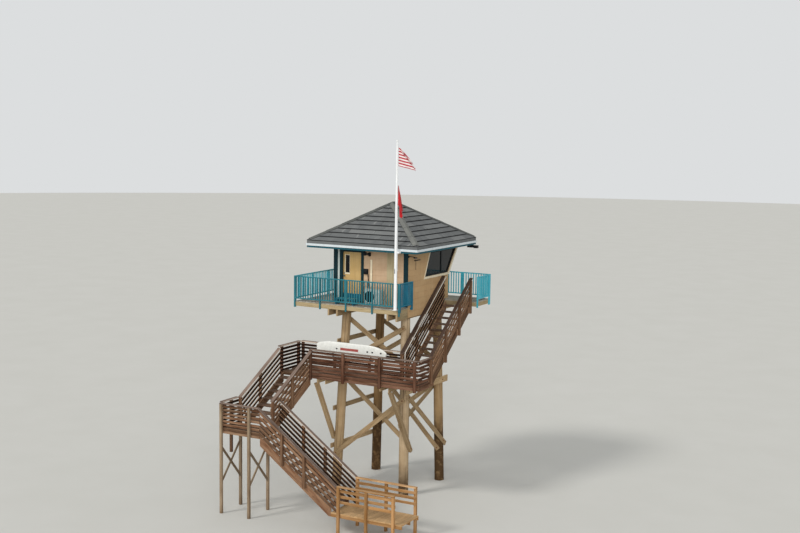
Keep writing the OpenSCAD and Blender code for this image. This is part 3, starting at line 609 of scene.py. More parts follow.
@dataclass(frozen=True)
class GlassFinish:
    """Float glass painted dark for the shaded room behind it, with a thin salt haze whose blue-grey is partly
    a painted reflection.
    """

    name: str
    room_shade: str
    salt_and_reflection: str

    def build(self) -> Material:
        """Makes the material.

        Returns:
            The material.
        """
        # the dark ground is painted shade of the room behind the glass
        coat = Coat(self.name, self.room_shade, 0.15)
        coat.shader.inputs["IOR"].default_value = 1.52
        coat.shader.inputs["Transmission Weight"].default_value = 0.15
        # salt haze, its blue-grey partly a painted reflection
        salt = coat.spots(coat.where, 1.0, 4.0, 0.45, 0.75, (4.0, 4.0, 1.2))
        coat.over(self.salt_and_reflection, salt, 0.2)
        return coat.finish(0.05, 0.22, salt, salt, 0.0001)


@dataclass(frozen=True)
class FlagFinish:
    """Woven flag cloth: a plain weave drawn at 3 mm so that it shows, and sewn stripes if asked.

    The cloth's own map runs along the fly in U and up the hoist in V, in metres.
    """

    name: str
    base: str
    shade: str
    stripe: str = ""
    stripes: int = 9
    hoist: float = 0.7

    def build(self) -> Material:
        """Makes the material.

        Returns:
            The material.
        """
        coat = Coat(self.name, self.base, 0.2)
        tree = coat.tree
        coat.shader.inputs["Sheen Weight"].default_value = 0.25
        uv = add(tree, "ShaderNodeUVMap", {"uv_map": "cloth"})
        way = add(tree, "ShaderNodeSeparateXYZ", None, {0: uv}).node.outputs
        if self.stripe:
            wave = add(tree, "ShaderNodeMath", {"operation": "PINGPONG"},
                       {0: way[1], 1: self.hoist / self.stripes})
            cut = add(tree, "ShaderNodeMapRange", None,
                      {"Value": wave, "From Min": self.hoist / self.stripes * 0.48,
                       "From Max": self.hoist / self.stripes * 0.52})
            coat.over(self.stripe, cut)
        warp, weft = (add(tree, "ShaderNodeTexWave", {"bands_direction": way_of},
                          {"Vector": uv, "Scale": 52.0}, out="Fac") for way_of in "XY")
        weave = add(tree, "ShaderNodeMath", {"operation": "MULTIPLY"}, {0: warp, 1: weft})
        coat.over(self.shade, weave, 0.25)
        coat.over(self.shade, coat.spots(uv, 5.0, 3.0, 0.4, 0.7), 0.3)
        return coat.finish(0.75, 0.9, weave, weave, 0.0004)


SHADED = (4, -1.0)  # a board's far face, out of the sun
WORN_HIGHLIT_EDGE = (2, 2.0)  # a cap's inner edge, worn pale and given a painted highlight
WEATHERED = (0, 0.95)  # the outer face of a rim board, where the stain has gone in patches


class Timber:
    """Sawn boards collected into one mesh, each with its own tone, wear and grain direction."""

    STEP = 420.0  # millimetres between two sections of a board

    def __init__(self, seed: int, bow: float = 3.0) -> None:
        """Starts an empty stack of boards.

        Args:
            seed: fixes every random choice of this stack.
            bow: how far a board may bend out of line, in millimetres.
        """
        self.random = random.Random(seed)
        self.bow = bow
        self.points: list[Vector] = []
        self.faces: list[tuple[int, ...]] = []
        self.maps: list[tuple[float, float]] = []
        self.tones: list[float] = []
        self.edges: list[float] = []

    def face(self, ids: Sequence[int], spots_uv: Sequence[tuple[float, float]], edge: float,
             flip: bool) -> None:
        """Adds one face with its map points, turned round if asked.

        Args:
            ids: the numbers of its points.
            spots_uv: their places in the map.
            edge: the face's edge value.
            flip: whether it is turned round.
        """
        pairs = list(zip(ids, spots_uv))
        if flip:
            pairs.reverse()
        self.faces.append(tuple(i for i, _ in pairs))
        self.maps.extend(uv for _, uv in pairs)
        self.edges.append(edge)

    def board(self, a0: Sequence[float], a1: Sequence[float], b0: Sequence[float],
              b1: Sequence[float], thick: Sequence[float], put: Put = as_is, chamfer: float = 4.0,
              side: tuple[int, float] | None = None) -> None:
        """Adds one board that runs from edge a0-a1 to edge b0-b1.

        Args:
            a0: one corner of the start edge, in millimetres.
            a1: the other corner, across the board's width.
            b0: the corner at the far end that a0 runs to.
            b1: the corner at the far end that a1 runs to.
            thick: the way and distance through the board.
            put: moves local points into the working frame.
            chamfer: size of the worn corner.
            side: the number of one long face, from 0, and the edge value that it gets.
        """
        start = put(Vector(a0))
        corner = [start, put(Vector(a1)), put(Vector(b0)), put(Vector(b1))]
        deep = put(Vector(a0) + Vector(thick)) - start
        wide, run = corner[1] - corner[0], corner[2] - corner[0]
        width, depth, length = wide.length, deep.length, run.length
        if min(width, depth, length) < 0.5:
            return
        flip = wide.cross(deep).dot(run) < 0
        cw, ct = min(chamfer / width, 0.3), min(chamfer / depth, 0.3)
        profile = [(cw, 0), (1 - cw, 0), (1, ct), (1, 1 - ct), (1 - cw, 1), (cw, 1), (0, 1 - ct), (0, ct)]
        around = [0.0]
        for k in range(8):
            p, q = profile[k], profile[(k + 1) % 8]
            around.append(around[-1] + math.hypot((q[0] - p[0]) * width, (q[1] - p[1]) * depth) / 1000)
        count = max(1, round(length / self.STEP))
        tone = self.random.random()
        amp = min(self.bow, length / 300)
        bend_t = deep / depth * self.random.uniform(-amp, amp)
        bend_w = wide / width * self.random.uniform(-amp, amp)
        first = len(self.points)
        for i in range(count + 1):
            s = i / count
            swing = math.sin(math.pi * s)
            low = corner[0].lerp(corner[2], s) + (bend_t + bend_w) * swing
            across = corner[1].lerp(corner[3], s) - corner[0].lerp(corner[2], s)
            for u, v in profile:
                self.points.append(place(low + across * u + deep * v))
                self.tones.append(tone)
        metres = length / 1000
        for i in range(count):
            u0, u1 = i / count * metres, (i + 1) / count * metres
            for k in range(8):
                j = (k + 1) % 8
                a, b = first + i * 8 + k, first + i * 8 + j
                self.face((a, b, b + 8, a + 8), ((u0, around[k]), (u0, around[k + 1]),
                                                 (u1, around[k + 1]), (u1, around[k])),
                          side[1] if side and side[0] == k else float(k % 2), flip)
        ends = [(u * width / 1000, v * depth / 1000) for u, v in profile]
        self.face([first + k for k in range(8)], ends, 0.4, not flip)
        last = first + count * 8
        self.face([last + k for k in range(8)], ends, 0.4, flip)

    def block(self, lo: Sequence[float], hi: Sequence[float], along: str = "x",
              put: Put = as_is) -> None:
        """Adds a square-ended board between two corners.

        Args:
            lo: its low corner.
            hi: its high corner.
            along: the way of its grain: x, y or z.
            put: moves local points into the working frame.
        """
        run = "xyz".index(along)
        rest = [k for k in range(3) if k != run]
        size = [hi[k] - lo[k] for k in range(3)]
        wide, thin = (rest if size[rest[0]] >= size[rest[1]] else rest[::-1])

        def corner(at_run: float, at_wide: float) -> list[float]:
            """One corner of the board.

            Args:
                at_run: its place along the grain.
                at_wide: its place across the width.
            Returns:
                The corner.
            """
            p = list(lo)
            p[run], p[wide] = at_run, at_wide
            return p

        deep = [0.0, 0.0, 0.0]
        deep[thin] = size[thin]
        self.board(corner(lo[run], lo[wide]), corner(lo[run], hi[wide]), corner(hi[run], lo[wide]),
                   corner(hi[run], hi[wide]), deep, put)

    def strut(self, a: Vector, b: Vector, width: float, thick: float) -> None:
        """Adds a plank on edge between two points, its thickness level and across its run.

        Args:
            a: the middle of one end.
            b: the middle of the other end.
            width: height of the plank.
            thick: its thickness.
        """
        run = (b - a).normalized()
        level = run.cross(Vector((0, 0, 1))).normalized()
        up = level.cross(run).normalized() * width / 2
        side = level * thick
        self.board(a - up - side / 2, a + up - side / 2, b - up - side / 2, b + up - side / 2, side)

    def plate(self, outline: Sequence[tuple[float, float]], y: float, thick: float,
              put: Put = as_is, slope: float = 0.0) -> None:
        """Adds a flat board cut to an outline in local XZ, thick towards +Y, its grain up a slope.

        Args:
            outline: its corners in local XZ.
            y: where its near face lies.
            thick: its thickness.
            put: moves local points into the working frame.
            slope: rise of the grain.
        """
        first, count = len(self.points), len(outline)
        tone = self.random.random()
        turn = math.atan(slope)
        for level in (y, y + thick):
            for x, z in outline:
                self.points.append(place(put(Vector((x, level, z)))))
                self.tones.append(tone)

        def uv(p: tuple[float, float]) -> tuple[float, float]:
            """A point's place along and across the grain."""
            return ((p[0] * math.cos(turn) + p[1] * math.sin(turn)) / 1000,
                    (p[1] * math.cos(turn) - p[0] * math.sin(turn)) / 1000)

        q = [put(Vector(v)) for v in ((0, 0, 0), (1, 0, 0), (0, 1, 0), (0, 0, 1))]
        mirrored = (q[1] - q[0]).cross(q[2] - q[0]).dot(q[3] - q[0]) < 0
        area = sum(outline[k][0] * outline[(k + 1) % count][1]
                   - outline[(k + 1) % count][0] * outline[k][1] for k in range(count))
        flip = mirrored != (area < 0)
        maps = [uv(p) for p in outline]
        self.face([first + k for k in range(count)], maps, 0.0, flip)
        self.face([first + count + k for k in range(count)], maps, 0.0, not flip)
        for k in range(count):
            j = (k + 1) % count
            ring = (maps[k], maps[j], (maps[j][0], maps[j][1] + thick / 1000),
                    (maps[k][0], maps[k][1] + thick / 1000))
            self.face((first + k, first + j, first + count + j, first + count + k), ring, 0.5, not flip)

    def finish(self, name: str, mat: Material) -> Object:
        """Makes the object and gives it.

        Args:
            name: the piece's name.
            mat: its material.
        Returns:
            The object, at the origin.
        """
        mesh = mapped(name, self.points, self.faces, self.maps, self.edges)
        mesh.attributes.new("tone", "FLOAT", "POINT").data.foreach_set("value", self.tones)
        mesh.materials.append(mat)
        mesh.update()
        return in_scene(name, mesh)


def in_scene(name: str, data: ID) -> Object:
    """Links a new object into the scene.

    Args:
        name: its name.
        data: its mesh, lamp or camera.
    Returns:
        The object.
    """
    obj = bpy.data.objects.new(name, data)
    bpy.context.scene.collection.objects.link(obj)
    return obj


def mapped(name: str, points: Sequence[Sequence[float]], faces: Sequence[Sequence[int]],
           maps: Sequence[tuple[float, float]], edges: Sequence[float] = (),
           layer: str = "grain") -> Mesh:
    """Makes a mesh with its own map.

    Args:
        name: the mesh's name.
        points: its points, in metres.
        faces: the numbers of each face's points.
        maps: the map's points, face by face, in metres.
        edges: each face's edge value, or nothing.
        layer: the map's name.
    Returns:
        The mesh.
    """
    mesh = bpy.data.meshes.new(name)
    mesh.from_pydata(points, [], faces)
    mesh.uv_layers.new(name=layer).data.foreach_set("uv", np.array(maps, dtype=np.float32).ravel())
    if edges:
        mesh.attributes.new("edge", "FLOAT", "FACE").data.foreach_set("value", edges)
    return mesh


def baked(obj: Object) -> Mesh:
    """Gives the mesh that an object's modifiers make of it."""
    bpy.context.view_layer.update()
    return bpy.data.meshes.new_from_object(obj.evaluated_get(bpy.context.evaluated_depsgraph_get()))


def skin(bm: bmesh.types.BMesh, rings: Sequence[Sequence[bmesh.types.BMVert]]) -> None:
    """Closes rings of points into one skin with flat ends.

    Args:
        bm: the mesh in the making.
        rings: the rings, each with as many points.
    """
    for low, high in zip(rings, rings[1:]):
        for k in range(len(low)):
            j = (k + 1) % len(low)
            bm.faces.new((low[k], low[j], high[j], high[k]))
    bm.faces.new(rings[0][::-1])
    bm.faces.new(rings[-1])


class Solids:
    """Rounded boxes, rods, tubes and turned parts collected into one mesh, in working millimetres."""

    def __init__(self) -> None:
        """Starts an empty mesh."""
        self.bm = bmesh.new()

    def box(self, lo: Sequence[float], hi: Sequence[float], radius: float = 4.0) -> None:
        """Adds a box with rounded edges.

        Args:
            lo: its low corner.
            hi: its high corner.
            radius: of its edges.
        """
        a, b = Vector(lo), Vector(hi)
        verts = bmesh.ops.create_cube(self.bm, size=1.0)["verts"]
        size = b - a
        for v in verts:
            v.co = Vector(v.co[k] * size[k] for k in range(3))
        edges = {e for v in verts for e in v.link_edges}
        out = bmesh.ops.bevel(self.bm, geom=list(edges), offset=min(radius, min(size) * 0.4),
                              segments=2, affect="EDGES", profile=0.5)
        for v in {v for f in out["faces"] for v in f.verts} | {v for v in verts if v.is_valid}:
            v.co += (a + b) / 2

    def rod(self, a: Sequence[float], b: Sequence[float], radius: float, segments: int = 20) -> None:
        """Adds a round bar.

        Args:
            a: one end of its axis.
            b: the other end.
            radius: of the bar.
            segments: number of sides.
        """
        p, q = Vector(a), Vector(b)
        run = q - p
        spin = run.to_track_quat("Z", "Y").to_matrix().to_4x4()
        bmesh.ops.create_cone(self.bm, cap_ends=True, segments=segments, radius1=radius, radius2=radius,
                              depth=run.length, matrix=Matrix.Translation((p + q) / 2) @ spin)

    def turned(self, profile: Sequence[tuple[float, float]], base: Sequence[float],
               axis: Sequence[float], segments: int = 32) -> None:
        """Adds a part turned on a lathe.

        Args:
            profile: radius and distance along the axis, from one end to the other.
            base: where the axis starts.
            axis: its direction.
            segments: number of sides.
        """
        spin = Vector(axis).to_track_quat("Z", "Y").to_matrix()
        rings = []
        for r, z in profile:
            rings.append([self.bm.verts.new(Vector(base) + spin @ Vector(
                (r * math.cos(t), r * math.sin(t), z)))
                for t in (2 * math.pi * k / segments for k in range(segments))])
        skin(self.bm, rings)

    def tube(self, points: Sequence[Sequence[float]], radius: float, segments: int = 10) -> None:
        """Adds a round tube along points, closed at both ends.

        Args:
            points: the middle line.
            radius: of the tube.
            segments: number of sides.
        """
        path = [Vector(p) for p in points]
        rings, side = [], None
        for i, p in enumerate(path):
            way = (path[min(i + 1, len(path) - 1)] - path[max(i - 1, 0)]).normalized()
            if side is None:
                side = way.orthogonal().normalized()
            side = (side - way * side.dot(way)).normalized()
            up = way.cross(side)
            rings.append([self.bm.verts.new(p + (side * math.cos(t) + up * math.sin(t)) * radius)
                          for t in (2 * math.pi * k / segments for k in range(segments))])
        skin(self.bm, rings)

    def finish(self, name: str, mat: Material, smooth: float = 35.0) -> Object:
        """Makes the object, in the frame's metres.

        Args:
            name: the piece's name.
            mat: its material.
            smooth: the angle in degrees under which edges are shaded round.
        Returns:
            The object, at the origin.
        """
        for v in self.bm.verts:
            v.co = place(v.co)
        bmesh.ops.recalc_face_normals(self.bm, faces=self.bm.faces[:])
        mesh = bpy.data.meshes.new(name)
        self.bm.to_mesh(mesh)
        self.bm.free()
        shade(mesh, smooth)
        mesh.materials.append(mat)
        return in_scene(name, mesh)


def shade(mesh: Mesh, degrees: float) -> None:
    """Shades a mesh round where its faces meet under an angle.

    Args:
        mesh: the mesh.
        degrees: the angle.
    """
    mesh.shade_smooth()
    sharp = mesh.attributes.get("sharp_edge") or mesh.attributes.new("sharp_edge", "BOOLEAN", "EDGE")
    bm = bmesh.new()
    bm.from_mesh(mesh)
    limit = math.radians(degrees)
    flags = [len(e.link_faces) != 2 or e.calc_face_angle(0.0) > limit for e in bm.edges]
    bm.free()
    sharp.data.foreach_set("value", flags)


class Layout:
    """A Geometry Nodes tree that makes a piece from an object's own mesh; its kinds add the nodes."""

    NAME = ""
    SOCKETS: dict[str, tuple[str, object]] = {}

    def __init__(self) -> None:
        """Builds the tree: its inputs, its own nodes, the material and the output."""
        self.tree = bpy.data.node_groups.new(self.NAME, "GeometryNodeTree")
        interface = self.tree.interface
        interface.new_socket("Geometry", in_out="INPUT", socket_type="NodeSocketGeometry")
        self.ids: dict[str, str] = {}
        for name, (kind, value) in {**self.SOCKETS, "Material": ("NodeSocketMaterial", None)}.items():
            item = interface.new_socket(name, in_out="INPUT", socket_type=kind)
            if value is not None:
                item.default_value = value
            self.ids[name] = item.identifier
        interface.new_socket("Geometry", in_out="OUTPUT", socket_type="NodeSocketGeometry")
        given = self.tree.nodes.new("NodeGroupInput").outputs
        done = add(self.tree, "GeometryNodeSetMaterial", None,
                   {"Geometry": self.laid(given), "Material": given["Material"]})
        self.tree.links.new(done, self.tree.nodes.new("NodeGroupOutput").inputs[0])

    def laid(self, given: NodeOutputs) -> NodeSocket:
        """Adds the tree's own nodes.

        Args:
            given: the tree's inputs, by name.
        Returns:
            The socket that gives what was laid.
        """
        raise NotImplementedError

    def run(self, obj: Object, mat: Material, **sizes: object) -> None:
        """Runs the tree on an object and keeps what comes out as the object's mesh.

        Args:
            obj: the object.
            mat: the finish.
            **sizes: the tree's inputs, with _ for the spaces in their names.
        """
        mod = obj.modifiers.new(self.NAME, "NODES")
        mod.node_group = self.tree
        mod[self.ids["Material"]] = mat
        for key, value in sizes.items():
            mod[self.ids[key.replace("_", " ")]] = value
        done = baked(obj)
        obj.modifiers.remove(mod)
        done.name = obj.name
        obj.data = done


class Repeat(Layout):
    """One Geometry Nodes tree that lays a part out in rows and columns.

    The object's own mesh is the part. Each copy is shifted and turned a little, gets its own tone,
    and the field is cut to a left and a right line, so that it ends at a hip or a slanted edge.
    """

    NAME = "lay_in_rows"
    SOCKETS = {
        "Columns": ("NodeSocketInt", 1), "Rows": ("NodeSocketInt", 1),
        "Column Step": ("NodeSocketVector", (0.0, 0.0, 0.0)),
        "Row Step": ("NodeSocketVector", (0.0, 0.0, 0.0)), "Row Shift": ("NodeSocketFloat", 0.0),
        "Jitter": ("NodeSocketVector", (0.0, 0.0, 0.0)), "Turn": ("NodeSocketVector", (0.0, 0.0, 0.0)),
        "Part Length": ("NodeSocketFloat", 0.0), "Seed": ("NodeSocketInt", 1),
        "Left Foot": ("NodeSocketFloat", -1000.0), "Left Head": ("NodeSocketFloat", -1000.0),
        "Right Foot": ("NodeSocketFloat", 1000.0), "Right Head": ("NodeSocketFloat", 1000.0),
        "Height": ("NodeSocketFloat", 1000.0),
    }

    def laid(self, given: NodeOutputs) -> NodeSocket:
        """Adds the nodes that lay the part on a grid and cut the field to its lines.

        Args:
            given: the tree's inputs, by name.
        Returns:
            The socket that gives the field.
        """
        tree = self.tree

        def limit(foot: str, head: str) -> NodeSocket:
            """The cut line's place at the height of a point.

            Args:
                foot: the input with the line's place at the foot.
                head: the input with its place at the head.
            Returns:
                The socket that gives the place.
            """
            here = add(tree, "ShaderNodeSeparateXYZ", None,
                       {0: add(tree, "GeometryNodeInputPosition")}).node.outputs
            return add(tree, "ShaderNodeMapRange", {"clamp": False},
                       {"Value": here[1], "From Max": given["Height"], "To Min": given[foot],
                        "To Max": given[head]})

        rows = add(tree, "GeometryNodeMeshLine", {"mode": "OFFSET"},
                   {"Count": given["Rows"], "Offset": given["Row Step"]})
        index = add(tree, "GeometryNodeInputIndex")
        other_way = add(tree, "ShaderNodeMath", {"operation": "MULTIPLY"},
                        {0: given["Row Shift"], 1: -1.0})
        shift = add(tree, "FunctionNodeRandomValue", {"data_type": "FLOAT"},
                    {2: other_way, 3: given["Row Shift"], 7: index, 8: given["Seed"]}, out=1)
        along = add(tree, "ShaderNodeCombineXYZ", None, {0: shift})
        rows = add(tree, "GeometryNodeSetPosition", None, {"Geometry": rows, "Offset": along})
        line = add(tree, "GeometryNodeMeshLine", {"mode": "OFFSET"},
                   {"Count": given["Columns"], "Offset": given["Column Step"]})
        grid = add(tree, "GeometryNodeInstanceOnPoints", None, {"Points": rows, "Instance": line})
        grid = add(tree, "GeometryNodeRealizeInstances", None, {"Geometry": grid})
        x = add(tree, "ShaderNodeSeparateXYZ", None, {0: add(tree, "GeometryNodeInputPosition")})
        end = add(tree, "ShaderNodeMath", {"operation": "ADD"}, {0: x, 1: given["Part Length"]})
        past = add(tree, "ShaderNodeMath", {"operation": "GREATER_THAN"},
                   {0: x, 1: limit("Right Foot", "Right Head")})
        short = add(tree, "ShaderNodeMath", {"operation": "LESS_THAN"},
                    {0: end, 1: limit("Left Foot", "Left Head")})
        out = add(tree, "ShaderNodeMath", {"operation": "MAXIMUM"}, {0: past, 1: short})
        grid = add(tree, "GeometryNodeDeleteGeometry", {"domain": "POINT"},
                   {"Geometry": grid, "Selection": out})

        def seeded(step: float) -> NodeSocket:
            """The seed of one more random draw."""
            return add(tree, "ShaderNodeMath", {"operation": "ADD"}, {0: given["Seed"], 1: step})

        def either_way(name: str, step: float) -> NodeSocket:
            """A random vector for each copy, up to the given one and as far the other way.

            Args:
                name: the input with the vector.
                step: how far this draw's seed lies from the given one.
            Returns:
                The socket that gives the vector.
            """
            back = add(tree, "ShaderNodeVectorMath", {"operation": "SCALE"},
                       {0: given[name], "Scale": -1.0})
            return add(tree, "FunctionNodeRandomValue", {"data_type": "FLOAT_VECTOR"},
                       {0: back, 1: given[name], 7: index, 8: seeded(step)})

        move, turn = either_way("Jitter", 1.0), either_way("Turn", 2.0)
        grid = add(tree, "GeometryNodeSetPosition", None, {"Geometry": grid, "Offset": move})
        laid = add(tree, "GeometryNodeInstanceOnPoints", None,
                   {"Points": grid, "Instance": given["Geometry"],
                    "Rotation": add(tree, "FunctionNodeEulerToRotation", None, {0: turn})})
        tone = add(tree, "FunctionNodeRandomValue", {"data_type": "FLOAT"},
                   {2: 0.0, 3: 1.0, 7: index, 8: seeded(3.0)}, out=1)
        laid = add(tree, "GeometryNodeStoreNamedAttribute", {"data_type": "FLOAT", "domain": "INSTANCE"},
                   {"Geometry": laid, "Name": "tone", "Value": tone})
        flat = add(tree, "GeometryNodeRealizeInstances", None, {"Geometry": laid})
        here = add(tree, "GeometryNodeInputPosition")
        now = add(tree, "ShaderNodeSeparateXYZ", None, {0: here}).node.outputs
        inside = add(tree, "ShaderNodeMath", {"operation": "MINIMUM"},
                     {0: now[0], 1: limit("Right Foot", "Right Head")})
        kept = add(tree, "ShaderNodeMath", {"operation": "MAXIMUM"},
                   {0: inside, 1: limit("Left Foot", "Left Head")})
        top = add(tree, "ShaderNodeMath", {"operation": "MINIMUM"}, {0: now[1], 1: given["Height"]})
        cut = add(tree, "ShaderNodeCombineXYZ", None, {0: kept, 1: top, 2: now[2]})
        flat = add(tree, "GeometryNodeSetPosition", None, {"Geometry": flat, "Position": cut})
        return add(tree, "GeometryNodeMergeByDistance", None, {"Geometry": flat, "Distance": 2e-5})

    def lay(self, name: str, part: Mesh, mat: Material, into: Matrix,
            **sizes: object) -> Object:
        """Lays the part out and bakes the result to a plain mesh.

        Args:
            name: the piece's name.
            part: the mesh that is repeated, in metres.
            mat: its material.
            into: the matrix from the field's own axes to the CAD frame.
            **sizes: the tree's inputs, with _ for the spaces in their names.
        Returns:
            The baked object, at the origin.
        """
        obj = in_scene(name, part)
        self.run(obj, mat, **sizes)
        obj.data.transform(into)
        return obj


def field_axes(origin: Sequence[float], along: Sequence[float], up: Sequence[float]) -> Matrix:
    """Matrix of a field: its X along, its Y up and its Z out, from a working point.

    Args:
        origin: working point where the field starts.
        along: the way of its X.
        up: a way towards its Y.
    Returns:
        The matrix into the CAD frame.
    """
    x = Vector(along).normalized()
    y = (Vector(up) - x * x.dot(Vector(up))).normalized()
    axes = Matrix((x, y, x.cross(y))).transposed().to_4x4()
    return Matrix.Translation(place(origin)) @ axes


def loft(name: str, ring: Outline, across: Sequence[float], edges: Sequence[float], end: float,
         length: float, sections: int) -> Mesh:
    """Draws a ring out along X into a board with its grain map, in metres.

    Args:
        name: the mesh's name.
        ring: its section in YZ.
        across: the map's place across the grain at each corner, and at the first one again.
        edges: the edge value of each side.
        end: the edge value of the two ends.
        length: along X.
        sections: number of sections along X.
    Returns:
        The mesh.
    """
    count = len(ring)
    points = [(length * i / sections, y, z) for i in range(sections + 1) for y, z in ring]
    faces, maps = [], []
    for i in range(sections):
        u0, u1 = length * i / sections, length * (i + 1) / sections
        for k in range(count):
            a, b = i * count + k, i * count + (k + 1) % count
            faces.append((a, a + count, b + count, b))
            maps += [(u0, across[k]), (u1, across[k]), (u1, across[k + 1]), (u0, across[k + 1])]
    last = sections * count
    faces += [tuple(range(count)), tuple(last + k for k in reversed(range(count)))]
    maps += [*ring, *reversed(ring)]
    return mapped(name, points, faces, maps, [*edges] * sections + [end, end])


def wedge_board(name: str, length: float, height: float, foot: float, head: float,
                sections: int) -> Mesh:
    """A lapped board or tile: thick at its foot and thin at its head.

    Args:
        name: the mesh's name.
        length: along X, in metres.
        height: along Y.
        foot: thickness at the foot.
        head: thickness at the head.
        sections: number of sections along X.
    Returns:
        The mesh.
    """
    ring = [(0.0, 0.0), (0.0, foot * 0.8), (height * 0.02, foot), (height, head), (height, 0.0)]
    across = [y + z for y, z in ring] + [0.0]
    return loft(name, ring, across, (1.0, 1.0, 0.0, 0.0, 0.0), 0.7, length, sections)


def plain_board(name: str, length: float, width: float, thick: float) -> Mesh:
    """A flat board with worn corners along X, its top face up.

    Args:
        name: the mesh's name.
        length: along X, in metres.
        width: along Y.
        thick: along Z.
    Returns:
        The mesh.
    """
    c = 0.004  # the worn corner
    ring = [(c, 0), (width - c, 0), (width, c), (width, thick - c), (width - c, thick),
            (c, thick), (0, thick - c), (0, c)]
    around = [0.0]
    for p, q in zip(ring, ring[1:] + ring[:1]):
        around.append(around[-1] + math.hypot(q[0] - p[0], q[1] - p[1]))
    return loft(name, ring, around, (0.0, 1.0) * 4, 0.4, length, 3)


class Slope(Enum):
    """The four roof slopes, by the side that they face."""

    LAND = "land"
    RIGHT = "right"
    SEA = "sea"
    LEFT = "left"


class Finishes:
    """Every finish of the tower, each made once."""

    def __init__(self) -> None:
        """Makes the materials."""
        # Brown stained stair lumber, worn through to grey-brown, with painted shade on the boards' far faces
        self.stair = WoodFinish("stained_stair_lumber", "#7a5840", "#3a2014", "#a5896f", spread=0.42,
                                inner="#1a100c").build()
        self.landing = WoodFinish("dark_stained_landing_lumber", "#62402f", "#2b150c", "#8d6c59",
                                  spread=0.42, inner="#1a100c").build()
        # Tread boards, bared and greyed by feet and sand
        self.tread = WoodFinish("worn_tread_lumber", "#6d5546", "#3b271b", "#937c6a", bleach_and_top_light=0.4).build()
        # Stained cap lumber, its inner edge worn pale and given a painted highlight
        self.cap = WoodFinish("stained_cap_lumber", "#5a463c", "#2f1d16", "#b3a093", bleach_and_top_light=0.3,
                              wear=0.95, worn_and_highlight="#cdbfb0").build()
        # Cap lumber darkened with painted shade on the upper flight, which lies in the cabin's shade
        self.dark_cap = WoodFinish("shaded_cap_lumber", "#46342d", "#281a15", "#8a7867", bleach_and_top_light=0.06,
                                   spread=0.15).build()
        # Newer orange-brown treated pine of the ground platform
        self.pine = WoodFinish("treated_pine_lumber", "#a67d4e", "#7a5127", "#d3af86").build()
        # The same pine as floor boards, lighter from sun bleaching and from painted light from above
        self.pine_floor = WoodFinish("bleached_top_lit_pine_boards", "#bb9669", "#8a6840", "#d6b78d").build()
        # Grey-tan posts and braces, bleached by the sun
        self.post = WoodFinish("weathered_grey_post_lumber", "#8c7962", "#584534", "#b5a68f").build()
        self.brace = WoodFinish("bleached_brace_lumber", "#b69c7a", "#7a6241", "#d3bd98").build()
        # Lumber under thin tan paint, round the deck
        self.fascia = WoodFinish("painted_fascia_lumber", "#ab9b7b", "#7b6a4b", "#c6b898", spread=0.2).build()
        # Deck boards gone silver-grey
        self.deck = WoodFinish("grey_deck_boards", "#9a968c", "#6c675c", "#bcb8ac").build()
        # Round pressure-treated pine, bleached on the weather side
        self.pile = PileFinish("treated_pine_pile", "#a88a5f", "#bfae94", "#6b4c27", "#3f2b13",
                               "#86683c").build()
        # Grey composite panels with a stone face: dull, gritty, and black in the joint shadow
        self.tile = TileFinish("composite_roof_panel", "#656869", "#858786", "#4b4f50", "#0e1011").build()
        self.hip = TileFinish("composite_hip_cap", "#757773", "#8b8c87", "#5a5c5a", "#3a3c3b", 9.0).build()
        # The same caps on the hips that face away from the sun
        self.dark_hip = TileFinish("shaded_hip_cap", "#505351", "#686a67", "#3b3e3d", "#222423",
                                   9.0).build()
        # Brushed acrylic paint on lapped boards, tan with a pink cast on the land side, with painted shadow
        # under each lap
        self.wall = PaintFinish("tan_siding_paint", "#b08f66", "#c2a77f", "#7d6040", 0.7, 0.2, 0.5,
                                spread=0.04, shadow=0.3).build()
        self.front = PaintFinish("pink_tan_siding_paint", "#b7997a", "#c8b093", "#86694c", 0.7, 0.15,
                                 0.5, spread=0.03, shadow=0.22).build()
        # Sand-coloured paint on a flat sheet
        self.panel = PaintFinish("sand_panel_paint", "#a99a78", "#bdb091", "#7b6a4c", 0.7, 0.35, 0.5).build()
        # Satin paint on the door leaf and cream paint on the trim
        self.door = PaintFinish("door_leaf_paint", "#bb9a62", "#c8ad7b", "#8d6f42", 0.5, 0.3, 0.4).build()
        self.cream = PaintFinish("cream_trim_paint", "#d8ccb0", "#e4dbc6", "#a08c68", 0.6, 0.35, 0.5).build()
        # Dark teal paint on corner boards and frame, teal on the soffit
        self.dark_trim = PaintFinish("dark_teal_trim_paint", "#10292f", "#1c3f47", "#091417", 0.5, 0.3,
                                     0.35, gloss=0.15).build()
        self.soffit = PaintFinish("teal_soffit_paint", "#174b57", "#235f6b", "#0a252b", 0.55, 0.3,
                                  0.4, gloss=0.2).build()
        # Teal enamel on steel tube, rusting through in spots
        self.rail = PaintFinish("teal_railing_enamel", "#2ba0b4", "#66c0cc", "#175a6b", 0.42, 0.3,
                                0.45, rust="#7a4a2c").build()
        # Darker copies of the teal enamel with a painted highlight on faces that look up: the deep one is
        # painted shade on the land side's railing, the blue one on the return railing, and it also colours
        # the bench and the door's kick plate
        self.shaded_rail = PaintFinish("shaded_teal_railing_enamel", "#1d6470", "#2f7f8b", "#0e3640", 0.42, 0.3,
                                     0.45, rust="#7a4a2c", top="#5cb3bd").build()
        self.blue_rail_top_lit = PaintFinish("blue_teal_railing_enamel_top_lit", "#075c76", "#15788f", "#06374a", 0.42, 0.3,
                                     0.45, rust="#7a4a2c", top="#3fa0b0").build()
        # White enamel on the steel pole
        self.white = PaintFinish("white_enamel", "#dfe2e4", "#eef0f1", "#a5a299", 0.4, 0.2, 0.4,
                                 rust="#8a5a38").build()
        # Rolled aluminium drip edge with baked white enamel, dulled to pale blue-grey
        self.drip = PaintFinish("drip_edge_enamel", "#c3ccd1", "#d6dde0", "#8f979a", 0.4, 0.3, 0.4).build()
